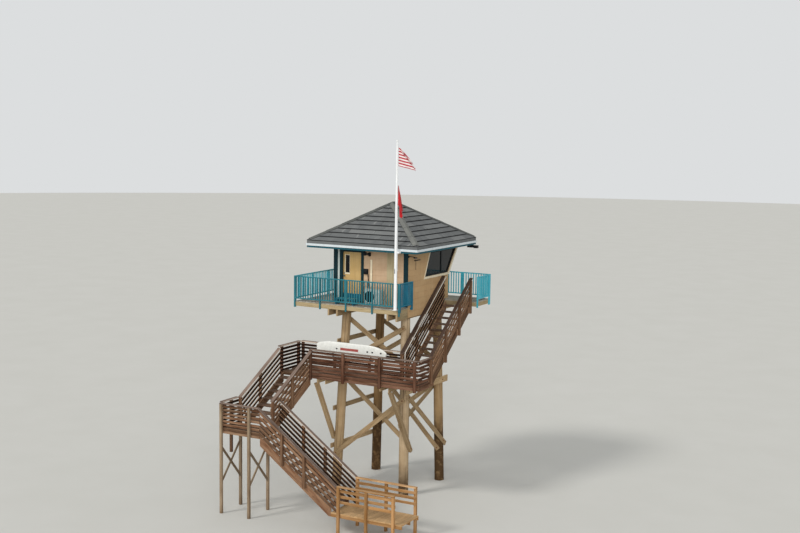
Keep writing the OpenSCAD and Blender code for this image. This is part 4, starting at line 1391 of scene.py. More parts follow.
        # Powder coat on the condenser's sheet steel, salted and stained
        self.housing = PaintFinish("grey_white_powder_coat", "#b4bdb9", "#c8cfcb", "#80827a", 0.45, 0.45,
                                   0.4, rust="#7c5030").build()
        # Black ABS, a milky polycarbonate lens, and the board's epoxy skin
        self.black = MouldedFinish("black_moulded_plastic", "#101113", "#222426", gloss=0.2).build()
        self.lens = MouldedFinish("frosted_lamp_cover", "#e6e9ea", "#f2f3f3", 0.3).build()
        self.board = MouldedFinish("white_board_skin", "#d9dbd6", "#ebece8", 0.3, 5.0).build()
        self.stripe = MouldedFinish("red_board_band", "#a04a44", "#b4685f", 0.35, 5.0).build()
        # Galvanised pipe gone chalky white with zinc salts in the sea air
        self.pipe = PaintFinish("chalky_galvanised_pipe", "#c4bdb3", "#dad4cb", "#8a8378", 0.6, 0.3,
                                0.35).build()
        # Hot-dip galvanised steel, and steel rusted right through
        self.steel = MetalFinish("galvanised_steel", "#8d9295", "#6d6f6e", 0.42).build()
        self.rusty = PaintFinish("rusted_steel", "#6b4128", "#8a5a38", "#3f2a20", 0.8, 0.4, 0.5).build()
        # Float glass painted dark for the shaded room behind it, in black painted aluminium
        self.glass = GlassFinish("window_glass_painted_dark", "#0d1216", "#26323b").build()
        self.frame = PaintFinish("black_window_frame_paint", "#14191c", "#262d31", "#0b0e10", 0.45, 0.2,
                                 0.3, gloss=0.15).build()
        # Woven polyester flag cloth, sun-faded
        self.striped = FlagFinish("striped_flag_cloth", "#b23342", "#7c1d29", "#e9e3e1", 13).build()
        self.red = FlagFinish("red_flag_cloth", "#b81820", "#740a10").build()


def dress(mat: Material, *names: str) -> None:
    """Gives CAD nodes their finish.

    Args:
        mat: the finish.
        *names: the nodes.
    """
    for name in names:
        slots = frame["nodes"][name].data.materials
        slots.clear()
        slots.append(mat)


def stand_for(obj: Object, nodes: Sequence[str] = (), slot: str = "",
              body: str = "tower") -> Object:
    """Lets a piece ride on a body and stand for CAD nodes, and reports it.

    Args:
        obj: the piece.
        nodes: the CAD nodes that it stands for.
        slot: the record's material slot; not used.
        body: the body that it rides on.
    Returns:
        The piece.
    """
    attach(obj, body)
    if nodes:
        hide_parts(*nodes)
    log.info("%s: %d faces", obj.name, len(obj.data.polygons))
    return obj


def turned_to(origin: Sequence[float], degrees: float, mirror_x: bool = False,
              mirror_y: bool = False) -> Put:
    """Gives the move from a part's local axes to the working frame.

    Args:
        origin: where the local origin goes.
        degrees: turn about the upright axis.
        mirror_x: whether local X is reversed first.
        mirror_y: whether local Y is reversed first.
    Returns:
        The function that moves a point.
    """
    spin = Matrix.Rotation(math.radians(degrees), 3, "Z")
    flip = Matrix.Diagonal((-1 if mirror_x else 1, -1 if mirror_y else 1, 1))
    start = Vector(origin)
    return lambda p: start + spin @ (flip @ p)


@dataclass
class Guard:
    """A boarded guard: horizontal or raking boards, posts outside them, and a wide cap on top."""

    length: float
    rise: float
    boards: int
    low: float
    posts: Sequence[float]
    post_low: float
    gap: float = 48.0
    uneven: float = 7.0
    end_free: float = 400.0
    cap_l: float = 3600.0

    def build(self, timber: Timber, caps: Timber, put: Put) -> None:
        """Puts the guard's lumber on two stacks.

        Args:
            timber: gets the boards and posts.
            caps: gets the cap.
            put: moves local points into the working frame.
        """
        p, top = PLAN, PLAN.rail_h - PLAN.plank
        slope = self.rise / self.length
        pitch = (top - self.low) / self.boards
        inner = [x + p.post / 2 for x in self.posts if self.end_free < x < self.length - self.end_free]
        cuts = [0.0, *inner, self.length]
        for k in range(self.boards):
            for a, b in zip(cuts, cuts[1:]):
                foot = self.low + k * pitch + timber.random.uniform(-self.uneven, self.uneven)
                head = foot + pitch - self.gap + timber.random.uniform(-self.uneven, self.uneven)
                foot = max(foot, self.low)
                head = min(head, top)
                y = timber.random.uniform(0, 2)
                side = WEATHERED if k == 0 and self.low < -PLAN.rim_h / 2 else SHADED
                timber.board((a + 2, y, foot + a * slope), (a + 2, y, head + a * slope),
                             (b - 2, y, foot + b * slope), (b - 2, y, head + b * slope),
                             (0, p.board_t - 2, 0), put, side=side)
        joint = [cuts[len(cuts) // 2]] if inner and self.length > self.cap_l else []
        for a, b in zip([0.0, *joint], [*joint, self.length]):
            caps.board((a + 1, -p.cap_over, top + a * slope), (a + 1, p.board_t, top + a * slope),
                       (b - 1, -p.cap_over, top + b * slope), (b - 1, p.board_t, top + b * slope),
                       (0, 0, p.plank), put, 6.0, side=WORN_HIGHLIT_EDGE)
        for x in self.posts:
            z = slope * x
            timber.block((x, -p.post, z + self.post_low),
                         (x + p.post, 0, min(z, z + slope * p.post) + top - 1), "z", put)


@dataclass
class Flight:
    """One flight of stairs: two stringers, treads of two boards each, and guards on both sides."""

    BELOW = 210.0  # a stringer's depth under the line of the nosings, in millimetres
    ABOVE = 120.0  # its height over that line
    NOTCH = 110.0  # how far a post's inner half stands over it

    name: str
    risers: int
    rise: float
    going: float
    width: float
    run: float
    early: float
    boards: int
    posts: Sequence[float]
    post_low: float
    gap: float
    put: Put
    seed: int
    landing: float | None = None
    stringer_from: float = 0.0

    def guards(self, looks: Finishes) -> Object:
        """Builds both guards with their caps, and gives the one object.

        Args:
            looks: the tower's finishes.
        Returns:
            The object.
        """
        p, s = PLAN, self.rise / self.going
        timber, caps = Timber(self.seed), Timber(self.seed + 1)
        for side in (0, 1):
            def put(q: Vector, side: int = side) -> Vector:
                """Moves a guard's point into the flight, mirrored for the far side.

                Args:
                    q: the point in the guard.
                    side: 0 for the near guard, 1 for the far one.
                Returns:
                    The point in the working frame.
                """
                y = q.y - p.plank - p.board_t
                return self.put(Vector((q.x - self.early, side * self.width + (-y if side else y),
                                        q.z + self.rise - self.early * s)))

            for x in self.posts:
                lands = self.landing is not None and x - self.early < self.landing
                low = self.early * s - self.rise if lands else x * s + self.post_low
                timber.block((x, -p.post, low), (x + p.post, 0, x * s + p.rail_h - p.plank - 1), "z", put)
                if not lands:
                    timber.block((x, 0, low), (x + p.post, p.board_t, x * s + self.NOTCH - self.rise),
                                 "z", put)
            bare = Guard(self.run + self.early, (self.run + self.early) * s, self.boards, 0, (),
                         self.post_low, self.gap)
            bare.build(timber, caps, put)
        cap = looks.dark_cap if self.name == "upper" else looks.cap
        return two_finishes(self.name + "_guards", timber, caps, looks.stair, cap)

    def stringers(self, timber: Timber, cut: Callable[[Outline, float], Outline] | None = None) -> None:
        """Adds both stringers to a stack; cut gives the lowest level at a place along the run.

        Args:
            timber: the stack that gets the boards.
            cut: changes a stringer's outline where it meets a floor, by its slope.
        """
        p, s = PLAN, self.rise / self.going
        x0, x1 = self.stringer_from, self.run
        for y in (-p.plank, self.width):
            outline = [(x0, x0 * s - self.BELOW), (x1, x1 * s - self.BELOW), (x1, x1 * s + self.ABOVE),
                       (x0, x0 * s + self.ABOVE)]
            if cut is not None:
                outline = cut(outline, s)
            timber.plate(outline, y, p.plank, self.put, s)


def two_finishes(name: str, timber: Timber, caps: Timber, mat: Material,
                 cap_mat: Material) -> Object:
    """Joins boards and caps into one object with two materials.

    Args:
        name: the piece's name.
        timber: the boards.
        caps: the caps.
        mat: the boards' finish.
        cap_mat: the caps' finish.
    Returns:
        The object.
    """
    first = len(timber.points)
    timber.points += caps.points
    timber.tones += caps.tones
    timber.edges += caps.edges
    timber.maps += caps.maps
    count = len(timber.faces)
    timber.faces += [tuple(i + first for i in f) for f in caps.faces]
    obj = timber.finish(name, mat)
    obj.data.materials.append(cap_mat)
    index = np.zeros(len(timber.faces), dtype=np.int32)
    index[count:] = 1
    obj.data.polygons.foreach_set("material_index", index)
    return obj


@dataclass
class Piles:
    """Four round piles, driven out of plumb, with long drying cracks and stained feet."""

    sides: int = 80
    step: float = 90.0
    grey: Sequence[float] = (0.35, 0.9, 0.15, 0.2)
    dark: Sequence[float] = (0.0, 0.0, 0.72, 0.25)
    wet_top: Sequence[float] = (300.0, 700.0, 2300.0, 2100.0)
    cracks: Sequence[int] = (9, 22, 9, 9)
    crack_w: float = 0.085
    damp_fade: float = 900.0
    girth: float = 1.1

    def build(self, looks: Finishes) -> None:
        """Makes the piles as one mesh with its colour masks.

        Args:
            looks: the tower's finishes.
        """
        p = PLAN
        rnd = random.Random(4)
        points, faces, maps = [], [], []
        masks: dict[str, list[float]] = {key: [] for key in ("grey", "dark", "wet", "crack")}
        rings = round((p.joist_z - p.ground_z) / self.step)
        for i in range(4):
            splits = [(rnd.uniform(0, 2 * math.pi), rnd.uniform(-0.1, 0.8), rnd.uniform(0.15, 0.5),
                       rnd.uniform(6, 15)) for _ in range(self.cracks[i])]
            first = len(points)
            for j in range(rings + 1):
                share = j / rings
                z = p.ground_z + (p.joist_z - p.ground_z) * share
                centre, radius = p.pile_centre(i, z), p.pile_radius(z)
                for k in range(self.sides):
                    t = 2 * math.pi * k / self.sides
                    swell = noise.noise(Vector((math.cos(t) * 1.4, math.sin(t) * 1.4, z / 900 + i * 9)))
                    r = radius + 5 * swell - 5
                    crack = 0.0
                    for where, low, long, deep in splits:
                        sway = where + 0.12 * math.sin(share * 9 + where * 3)
                        off = abs((t - sway + math.pi) % (2 * math.pi) - math.pi)
                        part = (share - low) / long
                        if off < self.crack_w and 0 < part < 1:
                            fade = math.sin(math.pi * part) ** 0.5 * (1 - off / self.crack_w)
                            r -= deep * fade
                            crack = max(crack, fade)
                    x, y = centre.x + r * math.cos(t), centre.y + r * math.sin(t)
                    if z > p.beam_z - 1:
                        x = min(max(x, p.pile_heads[i][0] - p.beam_in), p.pile_heads[i][0] + p.beam_in)
                    points.append(place((x, y, z)))
                    masks["grey"].append(self.grey[i] * (0.75 + 0.25 * share))
                    masks["dark"].append(self.dark[i])
                    masks["wet"].append(min(1.0, max(0.0, (self.wet_top[i] - z) / self.damp_fade)))
                    masks["crack"].append(crack)
            for j in range(rings):
                v0, v1 = j * self.step / 1000, (j + 1) * self.step / 1000
                for k in range(self.sides):
                    n = (k + 1) % self.sides
                    a, b = first + j * self.sides + k, first + j * self.sides + n
                    faces.append((a, b, b + self.sides, a + self.sides))
                    u0, u1 = (m * self.girth / self.sides + i * 3 for m in (k, k + 1))
                    maps += [(v0, u0), (v0, u1), (v1, u1), (v1, u0)]
            foot = [first + k for k in range(self.sides)]
            head = [first + rings * self.sides + k for k in range(self.sides)]
            faces += [tuple(reversed(foot)), tuple(head)]
            maps += [(0.0, 0.0)] * (2 * self.sides)
        mesh = mapped("weathered_piles", points, faces, maps)
        for key, values in masks.items():
            mesh.attributes.new(key, "FLOAT", "POINT").data.foreach_set("value", values)
        mesh.materials.append(looks.pile)
        mesh.update()
        shade(mesh, 50)
        stand_for(in_scene("weathered_piles", mesh), ["tower_piles"], "pile_wood")


@dataclass
class Bracing:
    """Planks and beams bolted to the piles."""

    dap: float = 22.0
    knee: float = 140.0
    girt_drop: float = 190.0
    reach: float = 0.0
    bolts: list[tuple[Vector, Vector]] = field(default_factory=list)

    def __post_init__(self) -> None:
        """Works out how far a brace's middle plane stands off a pile's axis."""
        self.reach = (PLAN.pile_foot_d + PLAN.pile_head_d) / 4 + PLAN.plank / 2 - self.dap

    def brace(self, timber: Timber, i: int, j: int, za: float, zb: float, face: Vector,
              width: float, over: float, past: float) -> None:
        """Adds one plank between two piles.

        Args:
            timber: the stack that gets it.
            i: the first pile.
            j: the second pile.
            za: height on the first pile.
            zb: height on the second pile.
            face: the way that the planks' outer side faces.
            width: width of the plank.
            over: its length beyond the first pile's middle.
            past: its length beyond the second pile's middle.
        """
        a = PLAN.pile_centre(i, za) + face * self.reach
        b = PLAN.pile_centre(j, zb) + face * self.reach
        run = (b - a).normalized()
        timber.strut(a - run * over, b + run * past, width, PLAN.plank)
        for spot in (a, b):
            self.bolts.append((spot + face * PLAN.plank / 2, face))

    def build(self, looks: Finishes) -> None:
        """Makes the lower and upper braces and the beams.

        Args:
            looks: the tower's finishes.
        """
        p = PLAN
        land, sea, right, left = (Vector(v) for v in ((0, -1, 0), (0, 1, 0), (1, 0, 0), (-1, 0, 0)))
        up = p.deck_z - p.mid_z
        low = Timber(11)
        m = p.mid_z
        # Two piles, a plank's heights on them as shares of the middle landing's, its side, its ends
        for i, j, a, b, face, over, past in (
                (0, 1, 0.168, 0.762, land, 90, 90), (0, 1, 0.899, 0.349, sea, 90, 90),
                (2, 3, 0.904, 0.176, land, 90, 90), (2, 3, 0.31, 0.853, sea, 90, 90),
                (1, 3, 0.791, 0.245, right, 40, 250), (1, 3, 0.517, 0.788, left, 90, 90)):
            self.brace(low, i, j, m * a, m * b, face, 175, over, past)
        beam_z = m - p.rim_h - self.girt_drop
        half = self.knee / 2
        for i, face, foot, over, drift in ((0, left, 0.3, 0, 150), (1, right, 0.31, 150, 0)):
            a = p.pile_centre(i, m * foot) + face * (self.reach + 50)
            b = Vector((a.x + drift, p.mid_y0 + 150, beam_z))
            run = (b - a).normalized()
            side = Vector((0, -run.z, run.y)).normalized() * half
            head = Vector((0, half / run.z, 0))
            foot_at = a - run * over
            low.board(foot_at - side - face * half, foot_at + side - face * half, b + head - face * half,
                      b - head - face * half, face * self.knee)
            self.bolts.append((a + face * half, face))
        stand_for(low.finish("lower_brace_planks", looks.brace), ["lower_bracing"], "brace_lumber")
        high = Timber(12)
        for i, face, a, b in ((0, sea, 0.74, 0.09), (0, land, 0.07, 0.68), (2, sea, 0.585, 0.01),
                              (2, land, 0.05, 0.655)):
            self.brace(high, i, i + 1, m + up * a, m + up * b, face, 175, 90, 90)
        stand_for(high.finish("upper_brace_planks", looks.brace), ["upper_bracing"], "brace_lumber")
        beams = Timber(13)
        for x in (p.pile_x0, p.pile_x1):
            for side in (-1, 1):
                mid = x + side * (p.beam_in + p.beam_t / 2)
                for y0, y1 in ((p.deck_y0 + 10, 700.0), (702.0, p.deck_y1 - 10)):
                    beams.block((mid - p.beam_t / 2, y0, p.beam_z), (mid + p.beam_t / 2, y1, p.joist_z), "y")
                for y in (p.pile_y0, p.pile_y1):
                    for z in (p.beam_z + 70, p.beam_z + 170):
                        self.bolts.append((Vector((mid + side * p.beam_t / 2, y, z)), Vector((side, 0, 0))))
        for i in (0, 1):
            c = p.pile_centre(i, beam_z + self.girt_drop / 2)
            for side in (-1, 1):
                x = c.x + side * (self.reach - p.plank / 2)
                beams.block((min(x, x + side * p.plank), p.mid_y0 + 110, beam_z),
                            (max(x, x + side * p.plank), c.y + 320, m - p.rim_h), "y")
        self.brace(beams, 1, 3, m * 0.855, m * 0.855, right, p.deep_w, 200, 400)
        for z in (m * 0.233, m * 0.607, m + up * 0.407):
            self.brace(beams, 0, 2, z, z, left, 175, 250, 250)
        stand_for(beams.finish("beam_planks", looks.brace), ["pile_beams"], "brace_lumber")
        Fixings().lay("bracing_bolts", self.bolts, looks.rusty)


class Fixings(Layout):
    """Hex bolts with washers, laid on points by a Geometry Nodes tree."""

    NAME = "bolts_on_points"
    SOCKETS = {
        "Washer Radius": ("NodeSocketFloat", 0.028), "Head Radius": ("NodeSocketFloat", 0.019),
        "Head Height": ("NodeSocketFloat", 0.014),
    }

    def laid(self, given: NodeOutputs) -> NodeSocket:
        """Adds the nodes of a washer and a six-sided head, turned to each point's own facing.

        Args:
            given: the tree's inputs, by name.
        Returns:
            The socket that gives the bolts.
        """
        tree = self.tree
        washer = add(tree, "GeometryNodeMeshCylinder", None,
                     {"Vertices": 16, "Radius": given["Washer Radius"], "Depth": 0.006})
        head = add(tree, "GeometryNodeMeshCylinder", None,
                   {"Vertices": 6, "Radius": given["Head Radius"], "Depth": given["Head Height"]})
        head = add(tree, "GeometryNodeTransform", None,
                   {"Geometry": head, "Translation": (0.0, 0.0, 0.009)})
        join = tree.nodes.new("GeometryNodeJoinGeometry")
        tree.links.new(head, join.inputs[0])
        tree.links.new(washer, join.inputs[0])
        facing = add(tree, "GeometryNodeInputNamedAttribute", {"data_type": "FLOAT_VECTOR"},
                     {"Name": "facing"})
        turn = add(tree, "FunctionNodeAlignRotationToVector", {"axis": "Z"}, {"Vector": facing})
        laid = add(tree, "GeometryNodeInstanceOnPoints", None,
                   {"Points": given["Geometry"], "Instance": join.outputs[0], "Rotation": turn})
        return add(tree, "GeometryNodeRealizeInstances", None, {"Geometry": laid})

    def lay(self, name: str, bolts: Sequence[tuple[Vector, Vector]],
            mat: Material) -> Object:
        """Lays a bolt at each point and bakes them.

        Args:
            name: the piece's name.
            bolts: for each bolt, its place in the working frame and the way it faces.
            mat: its material.
        Returns:
            The object.
        """
        mesh = bpy.data.meshes.new(name)
        mesh.from_pydata([place(a) for a, _ in bolts], [], [])
        mesh.attributes.new("facing", "FLOAT_VECTOR", "POINT").data.foreach_set(
            "vector", [c for _, n in bolts for c in n])
        obj = in_scene(name, mesh)
        self.run(obj, mat)
        return stand_for(obj, (), "hinge_steel")


@dataclass
class Deck:
    """The cabin deck: boards laid towards the sea on joists, with a fascia round them."""

    board_w: float = 0.140
    gap: float = 0.006

    def build(self, rows: Repeat, looks: Finishes) -> None:
        """Makes the floor boards, the joists and the fascia.

        Args:
            rows: the tree that lays boards in rows.
            looks: the tower's finishes.
        """
        p = PLAN
        pieces = []
        for k, (x0, x1, y0, y1) in enumerate(((p.deck_x0, p.deck_x1, p.deck_y0, p.deck_y1),
                                              (p.deck_x1, p.head_x1, p.head_y0, p.deck_y1))):
            length, depth = (y1 - y0) / 1000, (x1 - x0) / 1000
            pitch = self.board_w + self.gap
            pieces.append(rows.lay(
                f"deck_boards_{k + 1}", plain_board("deck_board", length, self.board_w, 0.04), looks.deck,
                field_axes((x0, y1, p.deck_z - p.plank), (0, -1, 0), (1, 0, 0)),
                Rows=math.ceil(depth / pitch), Row_Step=(0.0, pitch, 0.0), Height=depth,
                Jitter=(0.0, 0.001, 0.001), Turn=(0.001, 0.0, 0.0), Seed=20 + k))
        for piece in pieces:
            stand_for(piece, ["deck_floor"], "deck_board")
        joists = Timber(21)
        y0, y1 = p.deck_y0 + p.plank, p.deck_y1 - p.plank
        for k in range(11):
            y = y0 + p.plank / 2 + k * (y1 - y0 - p.plank) / 10
            x1 = p.head_x1 - p.plank if y - p.plank / 2 > p.head_y0 + p.plank else p.deck_x1 - p.plank
            joists.block((p.deck_x0 + p.plank, y - p.plank / 2, p.joist_z),
                         (x1, y + p.plank / 2, p.deck_z - p.plank), "x")
        stand_for(joists.finish("deck_joist_planks", looks.brace), ["deck_joists"], "brace_lumber")
        rim = Timber(22)
        z0, z1, t = p.joist_z, p.deck_z - p.plank, p.plank
        joint = -900
        for x0, x1, y0, y1, along in (
                (p.deck_x0, joint, p.deck_y0, p.deck_y0 + t, "x"),
                (joint + 2, p.deck_x1, p.deck_y0, p.deck_y0 + t, "x"),
                (p.deck_x1 - t, p.deck_x1, p.deck_y0 + t, p.head_y0 + t, "y"),
                (p.deck_x1, p.head_x1, p.head_y0, p.head_y0 + t, "x"),
                (p.head_x1 - t, p.head_x1, p.head_y0 + t, p.deck_y1, "y"),
                (p.deck_x0, p.head_x1 - t, p.deck_y1 - t, p.deck_y1, "x"),
                (p.deck_x0, p.deck_x0 + t, p.deck_y0 + t, p.deck_y1 - t, "y")):
            rim.block((x0, y0, z0), (x1, y1, z1), along)
        # The deeper skirt under the right wall
        rim.block((p.deck_x1 - 30, p.deck_y0, z0 - 190), (p.deck_x1 - 12, p.head_y0, z0), "y")
        stand_for(rim.finish("deck_rim_planks", looks.fascia), ["deck_fascia"], "siding_paint")


@dataclass
class Cabin:
    """The cabin's walls: lapped boards outside, painted trim, door and windows."""

    lap: float = 0.2117
    foot: float = 0.013
    head: float = 0.003

    def lay_boards(self, rows: Repeat, name: str, mat: Material, origin: Sequence[float],
                   along: Sequence[float], length: float, height: float, seed: int,
                   limits: dict[str, float]) -> None:
        """Lays lapped boards on one flat of the walls.

        Args:
            rows: the tree that lays them.
            name: the piece's name.
            mat: its paint.
            origin: working point at the foot of the left end, seen from outside.
            along: the way to the right, seen from outside.
            length: length of the field in metres.
            height: height of the field in metres.
            seed: fixes the tones.
            limits: the slanted cut lines, or nothing.
        """
        board = wedge_board("lap_board", length, self.lap + 0.004, self.foot, self.head,
                            max(1, round(length / 0.5)))
        obj = rows.lay(name, board, mat, field_axes(origin, along, (0, 0, 1)),
                       Rows=math.ceil(height / self.lap), Row_Step=(0.0, self.lap, 0.0), Height=height,
                       Jitter=(0.0, 0.0, 0.0005), Seed=seed, Part_Length=length,
                       **({"Left_Foot": 0.0, "Left_Head": 0.0, "Right_Foot": length,
                           "Right_Head": length} | limits))
        stand_for(obj, (), "siding_paint")

    def build(self, rows: Repeat, looks: Finishes) -> None:
        """Dresses the walls, the trim and the glass.

        Args:
            rows: the tree that lays boards in rows.
            looks: the tower's finishes.
        """
        p = PLAN
        casing, jamb_y = 40.0, 625.0  # round the side window, and its slanted side at the sill
        slant = (1090 - 680) / (p.soffit_z - 130 - p.sill_z - casing)
        low_y, high_y = jamb_y - slant * 2 * casing, jamb_y + slant * (p.soffit_z - p.sill_z - casing)
        low, high = (low_y - p.cabin_y0) / 1000, (high_y - p.cabin_y0) / 1000
        deep, skirt, sill = p.cabin_d / 1000, p.deck_z - 380, p.sill_z - casing
        post, door = 90.0, 100.0  # widths of the corner trim and of the door frame's trim
        left_x, right_x = p.cabin_x0 + post, p.door_x1 + door
        x0, x1, y0, y1 = p.cabin_x0, p.cabin_x1, p.cabin_y0, p.cabin_y1
        for k, (name, mat, origin, along, length, top, limits) in enumerate((
                ("right_wall_laps_low", looks.wall, (x1, y0, skirt), (0, 1, 0), deep, sill, {}),
                ("right_wall_laps_high", looks.wall, (x1, y0, sill), (0, 1, 0), deep, p.soffit_z,
                 {"Right_Foot": low, "Right_Head": high}),
                ("left_wall_laps_low", looks.wall, (x0, y1, p.deck_z), (0, -1, 0), deep, sill, {}),
                ("left_wall_laps_high", looks.wall, (x0, y1, sill), (0, -1, 0), deep, p.soffit_z,
                 {"Left_Foot": deep - low, "Left_Head": deep - high}),
                ("sea_wall_laps", looks.wall, (x1, y1, p.deck_z), (-1, 0, 0), p.cabin_w / 1000, sill, {}),
                ("land_wall_laps_left", looks.front, (left_x, y0, p.deck_z), (1, 0, 0),
                 (p.door_x0 - door - left_x) / 1000, p.soffit_z, {}),
                ("land_wall_laps_right", looks.front, (right_x, y0, p.deck_z), (1, 0, 0),
                 (x1 - 2 * post - right_x) / 1000, p.soffit_z, {}))):
            self.lay_boards(rows, name, mat, origin, along, length, (top - origin[2]) / 1000, 31 + k,
                            limits)
        dress(looks.front, "front_wall_left", "front_wall_right", "front_wall_over_door")
        dress(looks.wall, "right_wall", "left_wall", "sea_wall")
        dress(looks.frame, "window_frames")
        dress(looks.cream, "window_casings")
        dress(looks.glass, "window_glass", "door_glass")
        dress(looks.dark_trim, "corner_trim", "door_frame")
        dress(looks.door, "cabin_door")
        dress(looks.steel, "door_hinges", "board_brackets")
        dress(looks.soffit, "eave_soffit")
        dress(looks.drip, "drip_edge")
        dress(looks.tile, "roof_shell")
        dress(looks.rail, "left_railing", "sea_railing", "stair_head_railing")
        dress(looks.shaded_rail, "front_railing")
        dress(looks.blue_rail_top_lit, "return_railing", "deck_bench")
        dress(looks.white, "flagpole")
        self.panels(looks)

    def panels(self, looks: Finishes) -> None:
        """Adds the sand-coloured sheet and the corner battens of the land wall.

        Args:
            looks: the tower's finishes.
        """
        p = PLAN
        sheet = Solids()
        sheet.box((189, p.cabin_y0 - 19, p.deck_z + 2), (517, p.cabin_y0 - 1, p.soffit_z - 2), 3)
        stand_for(sheet.finish("land_wall_sheet", looks.panel), (), "siding_paint")
        dark, pale = Solids(), Solids()
        dark.box((-1958, p.cabin_y0 - 24, p.deck_z + 2), (-1871, p.cabin_y0 - 1, p.soffit_z - 2), 3)
        pale.box((-1870, p.cabin_y0 - 20, p.deck_z + 2), (-1792, p.cabin_y0 - 1, p.soffit_z - 2), 3)
        stand_for(dark.finish("land_wall_dark_batten", looks.dark_trim), (), "window_trim")
        stand_for(pale.finish("land_wall_pale_batten", looks.housing), (), "siding_paint")


@dataclass
class Roof:
    """The hipped roof: moulded panels in courses on every slope, and caps on the hips and ridge."""

    course: float = 0.2845
    panel: float = 1.05
    butt: float = 0.030
    cap_wing: float = 0.12
    cap_l: float = 0.62
    cap_lap: float = 0.012
    hip_inset: float = 96.0

    def build(self, rows: Repeat, looks: Finishes) -> None:
        """Lays the panels and the caps.

        Args:
            rows: the tree that lays boards in rows.
            looks: the tower's finishes.
        """
        p = PLAN
        wide, deep = p.eave_x1 - p.eave_x0, p.eave_y1 - p.eave_y0
        half = min(wide, deep) / 2
        length = math.hypot(half, p.roof_rise)
        corner = {Slope.LAND: (p.eave_x0, p.eave_y0), Slope.RIGHT: (p.eave_x1, p.eave_y0),
                  Slope.SEA: (p.eave_x1, p.eave_y1), Slope.LEFT: (p.eave_x0, p.eave_y1)}
        along = {Slope.LAND: (1, 0), Slope.RIGHT: (0, 1), Slope.SEA: (-1, 0), Slope.LEFT: (0, -1)}
        for k, side in enumerate(Slope):
            a = along[side]
            run = (wide if a[0] else deep) / 1000
            tile = wedge_board("roof_panel", self.panel - 0.006, self.course + 0.012, self.butt, 0.006, 2)
            up = Vector((-a[1] * half, a[0] * half, p.roof_rise))
            obj = rows.lay(
                f"roof_panels_{side.value}", tile, looks.tile,
                field_axes((*corner[side], p.eave_z + 1), (*a, 0), up),
                Rows=math.ceil(length / 1000 / self.course), Columns=math.ceil(run / self.panel) + 2,
                Column_Step=(self.panel, 0.0, 0.0), Row_Step=(0.0, self.course, 0.0),
                Row_Shift=self.panel * 0.45, Jitter=(0.004, 0.002, 0.0015), Turn=(0.004, 0.001, 0.0015),
                Part_Length=self.panel, Seed=41 + k, Left_Foot=0.0, Left_Head=half / 1000,
                Right_Foot=run, Right_Head=run - half / 1000, Height=length / 1000)
            stand_for(obj, (), "roof_tile")
        self.caps(rows, looks, half)

    def caps(self, rows: Repeat, looks: Finishes, half: float) -> None:
        """Lays folded caps up the four hips and along the ridge.

        Args:
            rows: the tree that lays boards in rows.
            looks: the tower's finishes.
            half: half the roof's lesser width.
        """
        p = PLAN
        peak = p.eave_z + p.roof_rise
        x0, x1, y0, y1 = p.eave_x0, p.eave_x1, p.eave_y0, p.eave_y1
        lines = [((x0, y0, p.eave_z), (x0 + half, y0 + half, peak)),
                 ((x1, y0, p.eave_z), (x1 - half, y0 + half, peak)),
                 ((x1, y1, p.eave_z), (x1 - half, y1 - half, peak)),
                 ((x0, y1, p.eave_z), (x0 + half, y1 - half, peak)),
                 ((x0 + half, y0 + half, peak), (x0 + half, y1 - half, peak))]
        for k, (a, b) in enumerate(lines):
            start, end = Vector(a), Vector(b)
            if k < 4:
                start += (end - start).normalized() * self.hip_inset
            run = end - start
            side = run.cross(Vector((0, 0, 1))).normalized()
            fall = p.roof_rise / half * (0.7071 if k < 4 else 1.0)  # a hip lies at 45 degrees in plan
            count = max(1, round(run.length / 1000 / self.cap_l))
            pitch = run.length / 1000 / count
            part = folded_cap("hip_cap", self.cap_wing, self.cap_wing * fall, pitch + self.cap_lap)
            up = side.cross(run).normalized()
            if up.z < 0:
                up, side = -up, -side
            axes = Matrix((side, run.normalized(), side.cross(run.normalized()))).transposed().to_4x4()
            mat = looks.hip if k == 1 else looks.dark_hip
            obj = rows.lay(f"ridge_caps_{k + 1}", part, mat, Matrix.Translation(place(start)) @ axes,
                           Rows=count, Row_Step=(0.0, pitch, 0.0), Height=run.length / 1000, Seed=50 + k,
                           Jitter=(0.001, 0.0, 0.0005))
            stand_for(obj, (), "roof_tile")


def folded_cap(name: str, wing: float, drop: float, length: float) -> Mesh:
    """A cap bent over a hip: two wings that fall to each side, thick at its foot, in metres.

    Args:
        name: the mesh's name.
        wing: width of one wing.
        drop: how far a wing falls.
        length: along the hip.
    Returns:
        The mesh.
    """
    ring = [(-wing, -drop + 0.02), (0.0, 0.02), (wing, -drop + 0.02), (wing, -drop + 0.05),
            (0.0, 0.052), (-wing, -drop + 0.05)]
    low = [Vector((x, 0.0, z)) for x, z in ring]
    high = [Vector((x, length, z - (0.006 if k > 2 else 0.0))) for k, (x, z) in enumerate(ring)]
    faces, maps, edges = [], [], []
    for k in range(6):
        j = (k + 1) % 6
        faces.append((j, k, k + 6, j + 6))
        maps += [(0.0, j / 10), (0.0, k / 10), (length, k / 10), (length, j / 10)]
        edges.append(0.5 if k in (2, 5) else 0.0)
    faces += [(0, 1, 4, 5), (1, 2, 3, 4), (11, 10, 7, 6), (10, 9, 8, 7)]
    maps += [(0.0, 0.0)] * 16
    edges += [1.0, 1.0, 0.2, 0.2]
    return mapped(name, low + high, faces, maps, edges)


